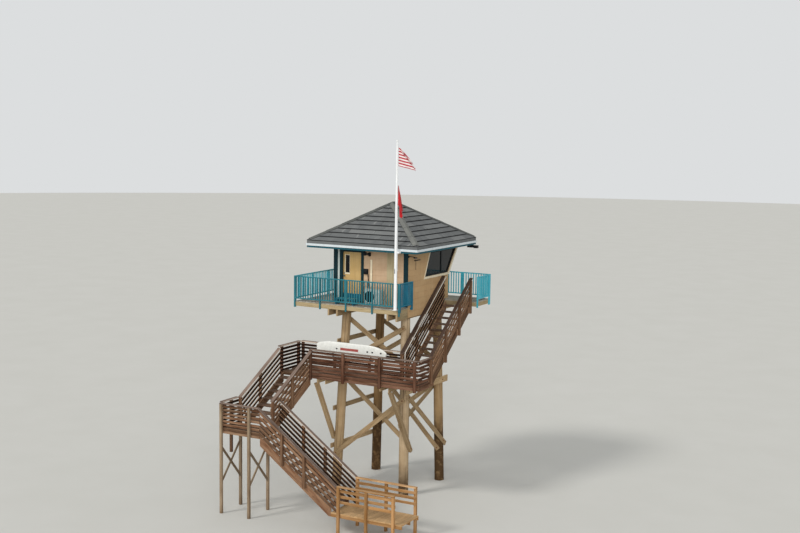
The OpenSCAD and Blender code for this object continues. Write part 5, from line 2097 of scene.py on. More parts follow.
@dataclass
class Stairs:
    """The three flights, from the deck down to the ground platform."""

    looks: Finishes
    flights: dict[str, Flight] = field(default_factory=dict)
    gap: float = 82.0
    head_gap: float = 60.0
    nosing: float = 25.0
    tread_t: float = 0.04
    tread_gap: float = 0.006

    def __post_init__(self) -> None:
        """Sets out the flights as the CAD source does."""
        p = PLAN
        run = p.upper_y1 - p.upper_y0 - self.head_gap
        self.flights["upper"] = Flight(
            "upper", p.upper_risers, p.upper_rise, p.upper_going, p.flight_w, run, early=190, boards=5,
            posts=(0, run * 0.37, run * 0.73, run + 190 - p.post), post_low=-330, gap=self.gap,
            put=turned_to((p.upper_x1, p.upper_y0, p.mid_z), 90), seed=61,
            landing=p.mid_y1 - p.upper_y0, stringer_from=10)
        run = p.mid_y0 - p.middle_y0 - p.guard_out - 1
        self.flights["middle"] = Flight(
            "middle", p.middle_risers, p.middle_rise, p.middle_going, p.middle_x1 - p.middle_x0, run,
            early=200, boards=5, posts=(0, run / 2 + 90), post_low=-230, gap=self.gap,
            put=turned_to((p.middle_x1, p.middle_y0, p.low_z), 90), seed=63, landing=0.0)
        run = p.lower_x1 - p.low_x1
        self.flights["lower"] = Flight(
            "lower", p.lower_risers, p.lower_rise, p.lower_going, p.lower_y1 - p.lower_y0, run,
            early=p.lower_going, boards=5, posts=(run * 0.43, run * 0.74), post_low=-210, gap=self.gap,
            put=turned_to((p.lower_x1, p.lower_y0, p.platform_z), 0, mirror_x=True), seed=65)

    def build(self, rows: Repeat) -> None:
        """Makes the guards, stringers and treads.

        Args:
            rows: the tree that lays boards in rows.
        """
        p = PLAN
        for name, flight in self.flights.items():
            stand_for(flight.guards(self.looks), [f"{name}_rails"], "stair_lumber")
        sides = Timber(67, 0)
        self.flights["upper"].run += self.head_gap
        self.flights["middle"].run = p.mid_y0 - p.middle_y0

        def off_landing(outline: Outline, s: float) -> Outline:
            """Cuts the upper stringer where it meets the middle landing's edge and top."""
            edge = p.mid_y1 - p.upper_y0
            return [(outline[0][0], 0.0), (edge, 0.0), (edge, edge * s - Flight.BELOW), *outline[1:]]

        def on_ground(outline: Outline, s: float) -> Outline:
            """Cuts the lower stringer level at the sand."""
            floor = -p.platform_z
            return [(0.0, floor), ((floor + Flight.BELOW) / s, floor), *outline[1:]]

        self.flights["upper"].stringers(sides, off_landing)
        self.flights["middle"].stringers(sides)
        self.flights["lower"].stringers(sides, on_ground)
        stand_for(sides.finish("stringer_planks", self.looks.stair), ["stair_stringers"], "stair_lumber")
        spots = {"upper": ((p.upper_x0, p.upper_y0 - self.nosing, p.mid_z), (1, 0, 0), (0, 1, 0)),
                 "middle": ((p.middle_x0, p.middle_y0 - self.nosing, p.low_z), (1, 0, 0), (0, 1, 0)),
                 "lower": ((p.lower_x1 + self.nosing, p.lower_y0, p.platform_z), (0, 1, 0), (-1, 0, 0))}
        for k, (name, (origin, along, up)) in enumerate(spots.items()):
            flight = self.flights[name]
            depth = (flight.going + 15) / 1000
            width = (depth - self.tread_gap) / 2
            start = (origin[0], origin[1], origin[2] + flight.rise - p.plank)
            obj = rows.lay(
                f"{name}_tread_boards",
                plain_board("tread_board", flight.width / 1000, width, self.tread_t),
                self.looks.tread, field_axes(start, along, up), Rows=flight.risers - 1, Columns=2,
                Column_Step=(0.0, width + self.tread_gap, 0.0),
                Row_Step=(0.0, flight.going / 1000, flight.rise / 1000), Seed=71 + k,
                Jitter=(0.0, 0.001, 0.001))
            stand_for(obj, [f"{name}_treads"], "stair_lumber")
        self.handrail()

    def handrail(self) -> None:
        """Makes the galvanised pipe rail inside the upper flight's far guard, with its foot post."""
        p, x, r = PLAN, PLAN.upper_x0 + 10, 17.0
        slope = p.upper_rise / p.upper_going

        def at(y: float, low: float = 0.0) -> tuple[float, float, float]:
            """A point of the rail's middle line, or some way below it."""
            return (x, y, p.mid_z + p.upper_rise + (y - p.upper_y0) * slope + 900 - low)

        rail = Solids()
        foot = p.upper_y0 - 150
        rail.tube([(x, foot, p.mid_z), (x, foot, at(foot)[2] - 40), (x, foot + 12, at(foot)[2] - 8),
                   at(foot + 45), at(p.upper_y1 - 90), at(p.upper_y1 - 60)], r, 12)
        rail.box((x - 45, foot - 45, p.mid_z), (x + 45, foot + 45, p.mid_z + 8), 2)
        for share in (0.12, 0.37, 0.62, 0.9):
            a = at(foot + share * (p.upper_y1 - foot))
            rail.rod((a[0], a[1], a[2] - 10), (x - 48, a[1], a[2] - 45), 7, segments=10)
        stand_for(rail.finish("stair_handrail_pipe", self.looks.pipe), (), "hinge_steel")


@dataclass
class Landings:
    """The middle landing, the small landing on its braced posts, and the ground platform."""

    looks: Finishes
    board_w: float = 0.140
    gap: float = 0.006
    joists: int = 14
    brace_shares: tuple[float, float] = (0.19, 0.74)
    platform_low: float = 335.0
    platform_gap: float = 90.0

    def floor(self, rows: Repeat, name: str, nodes: Sequence[str], slot: str, mat: Material,
              box: tuple[float, float, float, float], z: float, along_x: bool, seed: int,
              pieces: float) -> None:
        """Lays a board floor with staggered joints.

        Args:
            rows: the tree that lays it.
            name: the piece's name.
            nodes: the CAD nodes that it stands for.
            slot: the record's material slot.
            mat: its finish.
            box: x0, x1, y0, y1 of the floor.
            z: its top.
            along_x: whether the boards run along X.
            seed: fixes the tones.
            pieces: length of one board in metres.
        """
        x0, x1, y0, y1 = box
        wide, deep = ((x1 - x0, y1 - y0) if along_x else (y1 - y0, x1 - x0))
        axes = (field_axes((x0, y0, z - PLAN.plank), (1, 0, 0), (0, 1, 0)) if along_x
                else field_axes((x0, y1, z - PLAN.plank), (0, -1, 0), (1, 0, 0)))
        pitch = self.board_w + self.gap
        columns = max(1, math.ceil(wide / 1000 / pieces))
        shift = 0.0 if columns == 1 else pieces * 0.3
        obj = rows.lay(name, plain_board("floor_board", pieces - 0.003, self.board_w, 0.04), mat, axes,
                       Rows=math.ceil(deep / 1000 / pitch), Columns=columns + (2 if shift else 0),
                       Column_Step=(pieces, 0.0, 0.0), Row_Step=(0.0, pitch, 0.0), Row_Shift=shift,
                       Height=deep / 1000, Part_Length=pieces, Left_Foot=0.0, Left_Head=0.0,
                       Right_Foot=wide / 1000, Right_Head=wide / 1000, Seed=seed,
                       Jitter=(0.0, 0.0015, 0.0015), Turn=(0.001, 0.0, 0.0005))
        stand_for(obj, nodes, slot)

    def build(self, rows: Repeat) -> None:
        """Makes the floors, frames, posts and guards.

        Args:
            rows: the tree that lays boards in rows.
        """
        self.middle(rows)
        self.small(rows)
        self.platform(rows)

    def middle(self, rows: Repeat) -> None:
        """Makes the middle landing.

        Args:
            rows: the tree that lays boards in rows.
        """
        p, looks = PLAN, self.looks
        self.floor(rows, "middle_landing_boards", ["mid_landing"], "stair_lumber", looks.tread,
                   (p.mid_x0, p.mid_x1, p.mid_y0, p.mid_y1), p.mid_z, True, 81, 2.8)
        under = Timber(82)
        z0, z1 = p.mid_z - p.rim_h, p.mid_z - p.plank
        for y in (p.mid_y0, p.mid_y1 - p.plank):
            for a, b in ((p.mid_x0, -600.0), (-598.0, p.mid_x1)):
                under.block((a, y, z0), (b, y + p.plank, z1), "x")
        for k in range(self.joists):
            x = p.mid_x0 + k * (p.mid_x1 - p.mid_x0 - p.plank) / (self.joists - 1)
            under.block((x, p.mid_y0 + p.plank, z0), (x + p.plank, p.mid_y1 - p.plank, z1), "y")
        stand_for(under.finish("middle_landing_joists", looks.stair), ["mid_landing"], "stair_lumber")
        x0 = p.middle_x1 + p.plank
        length = p.mid_x1 - x0
        self.guard("middle_landing_guard_land", ["mid_front_rail"], 83,
                   [(Guard(length, 0, 8, -p.rim_h, (0, length * 0.31, length * 0.65, length - p.post - 50),
                           -p.rim_h - 40, uneven=11),
                     turned_to((x0, p.mid_y0 - p.board_t, p.mid_z), 0))])
        x1 = p.upper_x0 - p.plank - p.guard_out - 5
        length = x1 - p.mid_x0
        self.guard("middle_landing_guard_sea", ["mid_back_rail"], 85,
                   [(Guard(length, 0, 8, -p.rim_h, (0, length / 3, length * 2 / 3, length - p.post),
                           -p.rim_h, uneven=11),
                     turned_to((x1, p.mid_y1 + p.board_t, p.mid_z), 180))])
        self.guard("middle_landing_guard_ends", ["mid_end_rails"], 87,
                   [(Guard(p.upper_y0 - p.mid_y0 - 200, 0, 8, -p.rim_h, (), -p.rim_h),
                     turned_to((p.mid_x1 + p.board_t, p.mid_y0, p.mid_z), 90)),
                    (Guard(p.mid_d + p.guard_out, 0, 8, -p.rim_h, (0, p.mid_d - p.post), -p.rim_h),
                     turned_to((p.mid_x0 - p.board_t, p.mid_y1, p.mid_z), -90))])

    def guard(self, name: str, nodes: Sequence[str], seed: int, parts: Sequence[tuple[Guard, Put]],
              mat: Material | None = None, cap: Material | None = None,
              slot: str = "stair_lumber") -> None:
        """Makes one object of one or more guards.

        Args:
            name: the piece's name.
            nodes: the CAD nodes that it stands for.
            seed: fixes its random choices.
            parts: each guard with its move.
            mat: the boards' finish.
            cap: the cap's finish.
            slot: the record's material slot.
        """
        timber, caps = Timber(seed), Timber(seed + 1)
        for part, put in parts:
            part.build(timber, caps, put)
        stand_for(two_finishes(name, timber, caps, mat or self.looks.landing, cap or self.looks.cap),
                  nodes, slot)

    def small(self, rows: Repeat) -> None:
        """Makes the small landing, its posts and their cross braces.

        Args:
            rows: the tree that lays boards in rows.
        """
        p, looks = PLAN, self.looks
        self.floor(rows, "small_landing_boards", ["small_landing"], "stair_lumber", looks.tread,
                   (p.low_x0, p.low_x1, p.low_y0, p.low_y1), p.low_z, True, 91, 1.63)
        under = Timber(92)
        z0, z1, t = p.low_z - p.rim_h, p.low_z - p.plank, p.plank
        under.block((p.low_x0, p.low_y0, z0), (p.low_x1, p.low_y0 + t, z1), "x")
        under.block((p.low_x0, p.low_y1 - t, z0), (p.low_x1, p.low_y1, z1), "x")
        for x in (p.low_x0, (p.low_x0 + p.low_x1 - t) / 2, p.low_x1 - t):
            under.block((x, p.low_y0 + t, z0), (x + t, p.low_y1 - t, z1), "y")
        stand_for(under.finish("small_landing_frame", looks.stair), ["small_landing"], "stair_lumber")
        posts = Timber(93)
        top, front = p.low_z + p.rail_h - p.plank, p.low_y0 - p.board_t - p.post
        low, high = (p.low_z * share for share in self.brace_shares)
        for x in (p.low_x0 - 10, p.low_x1 - 445):
            posts.block((x, front, p.ground_z), (x + p.post, front + p.post, top), "z")
            posts.block((x, p.low_y1, p.ground_z), (x + p.post, p.low_y1 + p.post, p.low_z - p.plank), "z")
            for a, b, side in ((low, high, -15), (high, low, 15)):
                posts.strut(Vector((x + p.post / 2 + side, front + p.post / 2, a)),
                            Vector((x + p.post / 2 + side, p.low_y1 + p.post / 2, b)), 90, 29)
        stand_for(posts.finish("small_landing_post_lumber", looks.post), ["small_landing_posts"],
                  "stair_lumber")
        side = p.low_y1 - p.low_y0
        self.guard("small_landing_guards", ["small_landing_rails"], 95,
                   [(Guard(p.low_x1 - p.low_x0, 0, 8, -p.rim_h, (), -p.rim_h),
                     turned_to((p.low_x0, p.low_y0 - p.board_t, p.low_z), 0)),
                    (Guard(side - 80, 0, 8, -p.rim_h, (side * 0.3,), -980),
                     turned_to((p.low_x0 - p.board_t, p.low_y1, p.low_z), -90))], looks.stair)

    def platform(self, rows: Repeat) -> None:
        """Makes the ground platform with its three-board guards.

        Args:
            rows: the tree that lays boards in rows.
        """
        p, looks = PLAN, self.looks
        self.floor(rows, "platform_boards", ["ground_platform"], "new_lumber", looks.pine_floor,
                   (p.lower_x1, p.platform_x1, p.low_y0, p.lower_y1 + p.plank), p.platform_z, False, 97,
                   (p.lower_y1 + p.plank - p.low_y0) / 1000 + 0.003)
        under = Timber(98)
        for y in (p.low_y0, (p.low_y0 + p.lower_y1) / 2, p.lower_y1):
            under.block((p.lower_x1, y, 0), (p.platform_x1, y + p.plank, p.platform_z - p.plank), "x")
        stand_for(under.finish("platform_joists", looks.pine), ["ground_platform"], "new_lumber")
        reach = p.ground_z - p.platform_z
        self.guard("platform_guards", ["platform_rails"], 99,
                   [(Guard(p.platform_l - short, 0, 3, self.platform_low,
                           (0, p.platform_l * middle, p.platform_l - short - p.post), reach,
                           self.platform_gap), turned_to((p.platform_x0, y, p.platform_z), 0, mirror_y=far))
                    for short, middle, y, far in ((250, 0.44, p.low_y0, False),
                                                  (100, 0.46, p.lower_y1 + p.plank, True))],
                   looks.pine, looks.pine, "new_lumber")


@dataclass
class Fixtures:
    """What hangs on the walls and stands on the deck: condenser, speaker, lamps, box and pipe."""

    looks: Finishes

    def build(self) -> None:
        """Makes every fixture."""
        self.condenser()
        self.wall_boxes()
        self.pipes()
        self.door_parts()

    def condenser(self) -> None:
        """Makes the air conditioner's outdoor unit with its fan guard, valves and feet."""
        p = PLAN
        x0, y0, z0 = p.door_x1 + 290, p.cabin_y0 - 330, p.deck_z + 60
        x1, y1, z1 = x0 + 670, p.cabin_y0 - 70, z0 + 520
        body = Solids()
        body.box((x0 + 2, y0 + 8, z0), (x1 - 2, y1, z1 - 14), 12)
        body.box((x0, y0 + 4, z1 - 22), (x1, y1, z1), 8)
        body.box((x0 + 450, y0 + 3, z0 + 20), (x1 - 12, y0 + 16, z1 - 40), 5)
        for k in range(9):
            body.box((x1 - 6, y0 + 60, z0 + 70 + k * 44), (x1, y1 - 30, z0 + 84 + k * 44), 3)
        for x in (x0 + 60, x1 - 120):
            body.box((x, y0, p.deck_z), (x + 60, y1, z0 + 2), 6)
            body.box((x + 8, y0 + 20, z0 - 26), (x + 52, y1 - 20, z0), 4)
        stand_for(body.finish("condenser_housing", self.looks.housing), ["ac_condenser"], "white_metal")
        cx, cz, r = x0 + 225, z0 + 255, 200
        fan = Solids()
        fan.turned([(r, 0), (r, 6), (r - 8, 10), (r - 8, 0.5)], (cx, y0 + 10, cz), (0, -1, 0), 48)
        fan.turned([(192, 0), (192, 3)], (cx, y0 + 9, cz), (0, -1, 0), 40)
        for k in range(12):
            ring = [(cx + (20 + 15.5 * k) * math.cos(t), y0 - 1, cz + (20 + 15.5 * k) * math.sin(t))
                    for t in (2 * math.pi * i / 32 for i in range(33))]
            fan.tube(ring, 1.8, 6)
        for k in range(8):
            t = math.pi * k / 8
            fan.rod((cx - 194 * math.cos(t), y0 - 2, cz - 194 * math.sin(t)),
                    (cx + 194 * math.cos(t), y0 - 2, cz + 194 * math.sin(t)), 2.2, 6)
        fan.turned([(30, 0), (30, 8), (20, 13)], (cx, y0 + 2, cz), (0, -1, 0), 24)
        stand_for(fan.finish("condenser_fan_guard", self.looks.black), (), "black_plastic")

    def wall_boxes(self) -> None:
        """Makes the horn speaker, the alarm box, the floodlight and the arm on the side wall."""
        p = PLAN
        y, s = p.cabin_y0, p.soffit_z
        x = p.door_x1 + 100
        black = Solids()
        black.box((x + 4, y - 96, s - 236), (x + 120, y - 20, s - 120), 10)
        black.rod((x + 62, y - 21, s - 176), (x + 62, y, s - 176), 24)
        horn = Vector((x + 120, y - 58, s - 180))
        black.turned([(26, 0), (30, 40), (44, 90), (66, 130), (80, 160), (80, 166), (70, 166), (40, 100),
                      (20, 60)], horn, (1, -0.12, 0), 32)
        black.box((x + 20, y - 40, s - 120), (x + 60, y - 16, s - 8), 6)
        black.box((x + 20, y - 70, p.deck_z + 1080), (x + 200, y - 19, p.deck_z + 1280), 12)
        black.box((x + 34, y - 110, p.deck_z + 1100), (x + 186, y - 66, p.deck_z + 1262), 14)
        black.turned([(34, 0), (34, 10), (22, 18)], (x + 110, y - 108, p.deck_z + 1182), (0, -1, 0), 28)
        arm = p.cabin_x1
        black.box((arm, -620, s - 225), (arm + 14, -540, s - 145), 4)
        black.tube([(arm + 10, -580, s - 180), (arm + 90, -580, s - 172), (arm + 190, -580, s - 178),
                    (arm + 240, -580, s - 190)], 13)
        black.box((arm + 215, -625, s - 232), (arm + 330, -535, s - 190), 12)
        x1, y1 = p.eave_x1, p.eave_y1
        black.box((x1 - 320, y1 - 116, s - 128), (x1 - 62, y1 - 4, s - 24), 14)
        black.rod((x1 - 170, y1 - 58, s - 42), (x1 - 170, y1 - 58, s), 20)
        black.tube([(x1 - 90, y1 - 58, s - 70), (x1 - 20, y1 - 55, s - 80), (x1 + 50, y1 - 50, s - 84)], 12)
        black.box((x1 - 50, y1 - 118, s - 142), (x1 + 118, y1 + 12, s - 36), 12)
        stand_for(black.finish("black_wall_fixtures", self.looks.black), ["wall_fixtures"],
                  "black_plastic")
        lamp = Solids()
        lamp.turned([(70, 0), (88, 8), (92, 26), (84, 48), (60, 64), (24, 70)], (-330, y - 110, s),
                    (0, 0, -1), 36)
        lamp.box((arm + 235, -612, s - 238), (arm + 312, -548, s - 230), 3)
        stand_for(lamp.finish("soffit_lamp", self.looks.lens), (), "white_metal")

    def pipes(self) -> None:
        """Makes the cream duct on the land wall and the black lines down to the condenser."""
        p = PLAN
        y, d = p.cabin_y0, p.deck_z
        pipe = Solids()
        x = -440
        pipe.box((x - 33, y - 58, d + 640), (x + 33, y - 16, d + 1120), 7)
        pipe.box((x - 33, y - 58, d + 1123), (x + 33, y - 16, d + 1600), 7)
        pipe.box((x - 38, y - 62, d + 1575), (x + 38, y - 14, d + 1625), 8)
        for z in (d + 1500, d + 1110, d + 700):
            pipe.box((x - 38, y - 61, z), (x + 38, y - 12, z + 22), 5)
        stand_for(pipe.finish("land_wall_duct", self.looks.cream), (), "window_trim")
        line = Solids()
        x0 = p.door_x1 + 290
        line.tube([(x0, y - 40, d + 1085), (x0 + 2, y - 42, d + 960), (x0 + 16, y - 44, d + 860),
                   (x0 + 20, y - 46, d + 760), (x0 + 22, y - 60, d + 660), (x0 + 24, y - 76, d + 590)], 9)
        line.tube([(x0 + 24, y - 40, d + 1082), (x0 + 26, y - 40, d + 900), (x0 + 34, y - 44, d + 780),
                   (x0 + 60, y - 60, d + 640), (x0 + 70, y - 80, d + 575)], 7)
        line.tube([(p.cabin_x1 + 16, -60, p.soffit_z - 350), (p.cabin_x1 + 17, -58, p.soffit_z - 540),
                   (p.cabin_x1 + 16, -60, p.soffit_z - 700)], 6)
        line.box((p.cabin_x1 + 10, -180, p.soffit_z - 375), (p.cabin_x1 + 40, 260, p.soffit_z - 345), 6)
        stand_for(line.finish("black_service_lines", self.looks.black), (), "black_plastic")

    def door_parts(self) -> None:
        """Makes the bead round the door's glass, the knob and the kick plate; they ride on the door."""
        p = PLAN
        y = p.cabin_y0 + p.wall_t - 45
        x0, x1 = p.door_x0 + 105, p.door_x0 + 275
        z1 = p.deck_z + 15 + p.door_h - 145
        z0 = z1 - 640
        bead = Solids()
        for a, b in (((x0 - 34, z0 - 60), (x0 - 1, z1 + 26)), ((x1 + 1, z0 - 60), (x1 + 12, z1 + 26)),
                     ((x0 - 1, z0 - 60), (x1 + 1, z0 - 1)), ((x0 - 1, z1 + 1), (x1 + 1, z1 + 26))):
            bead.box((a[0], y - 7, a[1]), (b[0], y - 0.5, b[1]), 3)
        stand_for(bead.finish("door_glass_bead", self.looks.cream), (), "window_trim", "door")
        plate = Solids()
        plate.box((p.door_x0 + 12, y - 6, p.deck_z + 22), (p.door_x1 - 12, y - 0.5, p.deck_z + 322), 2)
        plate.box((p.door_x0 + 12, y - 16, p.deck_z + 300), (p.door_x1 - 12, y - 0.5, p.deck_z + 324), 4)
        stand_for(plate.finish("door_kick_plate", self.looks.blue_rail_top_lit), (), "window_trim", "door")
        knob = Solids()
        at = (p.door_x0 + 62, y, p.deck_z + 960)
        knob.turned([(30, 0), (30, 4), (12, 6), (11, 30), (26, 36), (30, 48), (24, 60), (8, 64)], at,
                    (0, -1, 0), 28)
        knob.box((at[0] - 26, y - 6, at[2] + 70), (at[0] + 26, y - 0.5, at[2] + 122), 5)
        stand_for(knob.finish("door_knob", self.looks.steel), (), "hinge_steel", "door")


@dataclass
class BoardOnRail:
    """The rescue board that stands on edge in its brackets: a rounded shell with a plain band."""

    looks: Finishes
    length: float = 2950.0
    width: float = 570.0
    thick: float = 120.0
    at_x: float = -2600.0
    nose: float = 900.0
    tail: float = 500.0
    off_guard: float = 60.0
    over_floor: float = 490.0
    band: Sequence[float] = (0.35, 0.61)
    grips: Sequence[float] = (0.298, 0.737, 0.807, 0.925)

    def outline(self, s: float) -> tuple[float, float, float]:
        """Low edge, high edge and thickness at a share of the length.

        Args:
            s: share of the length, from the tail.
        Returns:
            The two edges' places across, and the thickness.
        """
        x = s * self.length
        past = x - self.length + self.nose
        if past > 0:
            half = math.sqrt(max(0.0, 1 - (past / self.nose) ** 2)) * self.width / 2
        elif x > self.tail:
            half = self.width / 2
        else:
            half = self.width * (0.28 + 0.22 * max(0.0, x / self.tail) ** 0.6)
        rocker = 0.55 + 0.45 * math.sin(math.pi * min(1.0, max(0.0, s * 0.94 + 0.03))) ** 0.5
        return self.width / 2 - half, self.width / 2 + half, self.thick * rocker

    def build(self) -> None:
        """Lofts the shell from rounded sections."""
        p = PLAN
        y0 = p.mid_y1 - self.off_guard - self.thick / 2
        z0 = p.mid_z + self.over_floor
        bm = bmesh.new()
        stations, around = 72, 28
        rings = []
        for i in range(stations + 1):
            s = 0.002 + 0.995 * (0.5 - 0.5 * math.cos(math.pi * i / stations))
            low, high, thick = self.outline(s)
            mid, half = (low + high) / 2, max(3.0, (high - low) / 2)
            thick = min(thick, half * 1.4)
            ring = []
            for k in range(around):
                t = 2 * math.pi * k / around
                c, n = math.cos(t), math.sin(t)
                z = mid + half * math.copysign(abs(c) ** 0.75, c)
                y = thick / 2 * math.copysign(abs(n) ** 0.6, n)
                ring.append(bm.verts.new(place((self.at_x + s * self.length, y0 + y, z0 + z))))
            rings.append(ring)
        skin(bm, rings)
        bmesh.ops.recalc_face_normals(bm, faces=bm.faces[:])
        mesh = bpy.data.meshes.new("rescue_board_shell")
        bm.to_mesh(mesh)
        bm.free()
        shade(mesh, 45)
        mesh.materials.append(self.looks.board)
        mesh.materials.append(self.looks.stripe)
        start = place((self.at_x, 0, 0)).x
        for face in mesh.polygons:
            share = (face.center.x - start) / self.length * 1000
            on_band = self.band[0] < share < self.band[1]
            face.material_index = int(on_band and face.index % around == around * 3 // 4)
        stand_for(in_scene("rescue_board_shell", mesh), ["rescue_board"], "board_shell")
        grips = Solids()
        for share in self.grips:
            x = self.at_x + share * self.length
            front = y0 - self.outline(share)[2] / 2
            grips.box((x - 34, front - 6, z0 + 300), (x + 34, front + 20, z0 + 352), 7)
        stand_for(grips.finish("rescue_board_grips", self.looks.black), (), "board_shell")


@dataclass
class Flag:
    """One flag: a flat cut of cloth, sewn to the halyard along its hoist and let hang in a breeze."""

    name: str
    node: str
    slot: str
    hoist: float
    fly: float
    top: float
    off: float
    heading: float
    breeze: float
    mat: Material
    seed: int
    slack: float = 0.0
    columns: int = 44
    frames: int = 70
    swing: float = 0.05
    droop: float = 0.25
    thick: float = 0.0015

    def start(self) -> Object:
        """Makes the flat cloth, already swung a little out of its plane.

        Returns:
            The cloth.
        """
        rows = round(self.columns * self.hoist / self.fly)
        rnd = random.Random(self.seed)
        base = place((PLAN.pole_x, PLAN.pole_y, 0))
        a = math.radians(self.heading)
        out, side = Vector((math.cos(a), math.sin(a), 0)), Vector((-math.sin(a), math.cos(a), 0))
        z_top = self.top / 1000
        points, faces, maps = [], [], []
        for j in range(rows + 1):
            v = self.hoist * j / rows
            for i in range(self.columns + 1):
                u = self.fly * i / self.columns
                bend = self.swing * math.sin(u / self.fly * 7 + v * 2 + self.seed) * min(1.0, u * 4)
                hoist_z = z_top - self.hoist * (1 - self.slack) + v * (1 - self.slack)
                points.append(base + out * (self.off + u * 0.96) + side * (bend + rnd.uniform(0, 1e-3))
                              + Vector((0, 0, hoist_z - u * self.droop)))
        for j in range(rows):
            for i in range(self.columns):
                q = j * (self.columns + 1) + i
                ids = (q, q + 1, q + self.columns + 2, q + self.columns + 1)
                faces.append(ids)
                for n in ids:
                    maps.append((self.fly * (n % (self.columns + 1)) / self.columns,
                                 self.hoist * (n // (self.columns + 1)) / rows))
        mesh = mapped(self.name, points, faces, maps, layer="cloth")
        mesh.materials.append(self.mat)
        return in_scene(self.name, mesh)

    def build(self) -> None:
        obj = self.start()
        pin = obj.vertex_groups.new(name="hoist")
        pin.add([j for j in range(len(obj.data.vertices)) if j % (self.columns + 1) == 0], 1.0, "REPLACE")
        self.hang(obj)
        mesh = obj.data
        mesh.shade_smooth()
        thick = obj.modifiers.new("cloth_thickness", "SOLIDIFY")
        thick.thickness = self.thick
        thick.offset = 0.0
        done = baked(obj)
        obj.modifiers.clear()
        obj.vertex_groups.clear()
        obj.data = done
        done.name = self.name
        stand_for(obj, [self.node], self.slot)

    def hang(self, obj: Object) -> None:
        """Lets the cloth fall in the breeze and applies where it comes to rest.

        Args:
            obj: the cloth.
        """
        scene = bpy.context.scene
        a = math.radians(self.heading)
        scene.gravity = (GRAVITY * self.breeze * math.cos(a), GRAVITY * self.breeze * math.sin(a), -GRAVITY)
        cloth = obj.modifiers.new("cloth", "CLOTH")
        for key, value in {"vertex_group_mass": "hoist", "quality": 7, "mass": 0.15, "air_damping": 2.0,
                           "bending_stiffness": 0.12, "tension_stiffness": 25,
                           "compression_stiffness": 25, "shear_stiffness": 8}.items():
            setattr(cloth.settings, key, value)
        cloth.collision_settings.use_self_collision = True
        cloth.collision_settings.self_distance_min = 0.004
        cloth.collision_settings.use_collision = False
        cloth.point_cache.frame_start = 1
        cloth.point_cache.frame_end = self.frames
        scene.frame_start, scene.frame_end = 1, self.frames
        for k in range(1, self.frames + 1):
            scene.frame_set(k)
        hung = baked(obj)
        obj.modifiers.remove(cloth)
        old = obj.data
        obj.data = hung
        bpy.data.meshes.remove(old)
        scene.frame_set(1)
        scene.gravity = (0.0, 0.0, -GRAVITY)


@dataclass
class PoleRigging:
    """The halyard, its cleat and the cap of the flagpole."""

    looks: Finishes

    def build(self) -> None:
        """Makes the pole's fittings."""
        p = PLAN
        x, y = p.pole_x, p.pole_y
        kit = Solids()
        kit.turned([(40, 0), (44, 12), (44, 24), (30, 30)], (x, y, 12298), (0, 0, 1), 28)
        kit.box((x - 8, y - 78, p.deck_z + 1300), (x + 8, y - 54, p.deck_z + 1460), 6)
        stand_for(kit.finish("pole_cap_and_cleat", self.looks.steel), (), "white_metal")
        line = Solids()
        a = math.radians(35)  # the side of the pole that the line runs on
        out = Vector((math.cos(a), math.sin(a), 0))
        foot, head = p.deck_z + 1380, 12280
        line.tube([Vector((x, y, z)) + out * (63 - 28 * (z - foot) / (head - foot))
                   for z in np.linspace(foot, head, 12)], 4.5, 8)
        stand_for(line.finish("halyard_line", self.looks.white), (), "white_metal")


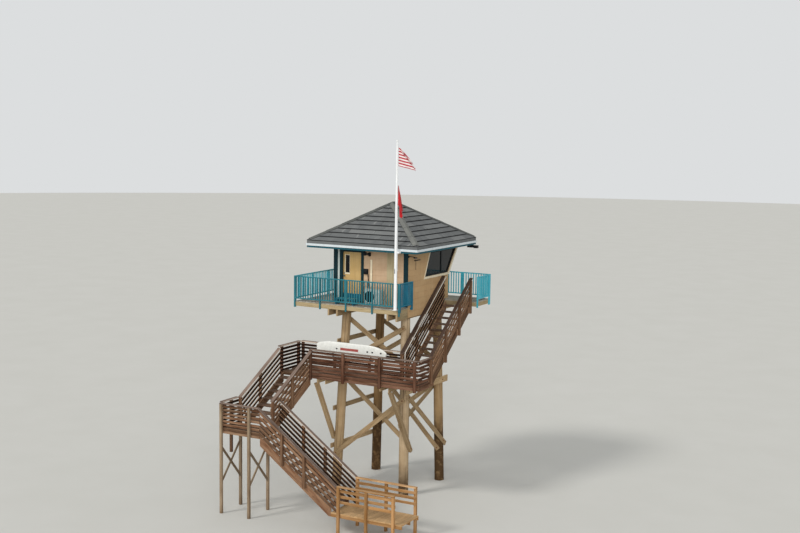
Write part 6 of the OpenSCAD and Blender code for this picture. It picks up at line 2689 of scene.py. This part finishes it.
@dataclass
class Studio:
    """Plain pale floor, soft light and the camera at the photograph's viewing angle."""

    eye: Sequence[float] = (20.8395, -36.397, 13.1)
    heading: float = 28.5
    down: float = 6.349
    roll: float = 0.784
    lens: float = 53.1
    floor_radius: float = 220.0

    def build(self) -> None:
        """Makes the whole studio."""
        scene = bpy.context.scene
        scene.view_settings.view_transform = "Standard"
        self.floor()
        self.light()
        self.camera()

    def floor(self) -> None:
        """Makes a round floor with a fine matt texture, far wider than the view."""
        coat = Coat("pale_studio_floor", "#cfcfca", 0.2)
        cloud = coat.spots(coat.where, 0.4, 3.0, 0.3, 0.7)
        coat.over("#c8c8c2", cloud, 0.4)
        mat = coat.finish(0.9, 0.98, cloud, coat.spots(coat.where, 30.0), 0.001)
        bm = bmesh.new()
        bmesh.ops.create_circle(bm, cap_ends=True, segments=96, radius=self.floor_radius)
        mesh = bpy.data.meshes.new("studio_floor")
        bm.to_mesh(mesh)
        bm.free()
        mesh.materials.append(mat)
        in_scene("studio_floor", mesh)

    def light(self) -> None:
        """Sets an even pale world, a soft sun and a broad fill from the front."""
        world = bpy.data.worlds.new("studio_world")
        bpy.context.scene.world = world
        world.use_nodes = True
        tree = world.node_tree
        tree.nodes.clear()
        rays = add(tree, "ShaderNodeLightPath").node.outputs
        seen = add(tree, "ShaderNodeMath", {"operation": "MAXIMUM"},
                   {0: rays["Is Camera Ray"], 1: rays["Is Transmission Ray"]})
        plain = add(tree, "ShaderNodeBackground", None, {"Color": linear("#f2f4f6"), "Strength": 0.55})
        shown = add(tree, "ShaderNodeBackground", None, {"Color": linear("#dcdedf"), "Strength": 1.0})
        both = add(tree, "ShaderNodeMixShader", None, {0: seen, 1: plain, 2: shown})
        add(tree, "ShaderNodeOutputWorld", None, {0: both})
        for name, energy, angle, way in (("soft_sun", 1.3, 12, (0.45, 0.82, -0.86)),
                                         ("front_fill", 1.9, 40, (-0.52, 0.84, -0.30))):
            lamp = bpy.data.lights.new(name, "SUN")
            lamp.energy = energy
            lamp.angle = math.radians(angle)
            lamp.color = (1.0, 0.97, 0.93)
            in_scene(name, lamp).rotation_euler = Vector(way).to_track_quat("-Z", "Y").to_euler()

    def camera(self) -> None:
        """Sets the camera where the photograph was taken from."""
        a, p, r = (math.radians(v) for v in (self.heading, self.down, self.roll))
        look = Vector((-math.sin(a), math.cos(a), 0))
        right = Vector((math.cos(a), math.sin(a), 0))
        up = Vector((0, 0, 1))
        ahead = look * math.cos(p) - up * math.sin(p)
        rise = look * math.sin(p) + up * math.cos(p)
        x = right * math.cos(r) + rise * math.sin(r)
        y = rise * math.cos(r) - right * math.sin(r)
        data = bpy.data.cameras.new("photo_view")
        data.lens, data.sensor_width = self.lens, 36.0
        data.clip_start, data.clip_end = 0.5, 600.0
        cam = in_scene("photo_view", data)
        axes = Matrix((x, y, -ahead)).transposed().to_4x4()
        cam.matrix_world = Matrix.Translation(Vector(self.eye)) @ axes
        bpy.context.scene.camera = cam


def main() -> None:
    """Builds the tower from the piles up, and then the studio."""
    logging.basicConfig(level=logging.INFO, format="%(name)s: %(message)s")
    looks, rows = Finishes(), Repeat()
    Studio().build()
    Piles().build(looks)
    Bracing().build(looks)
    Deck().build(rows, looks)
    Cabin().build(rows, looks)
    Roof().build(rows, looks)
    Stairs(looks).build(rows)
    Landings(looks).build(rows)
    Fixtures(looks).build()
    BoardOnRail(looks).build()
    Flag("striped_flag_cloth", "striped_flag", "flag_striped", hoist=0.70, fly=0.62, top=12100, off=0.05,
         heading=35, breeze=0.8, mat=looks.striped, seed=3, slack=0.06).build()
    Flag("red_flag_cloth", "red_flag", "flag_red", hoist=0.60, fly=0.90, top=10790, off=0.055,
         heading=50, breeze=0.18, mat=looks.red, seed=8, slack=0.1).build()
    PoleRigging(looks).build()


if __name__ == "__main__":
    main()
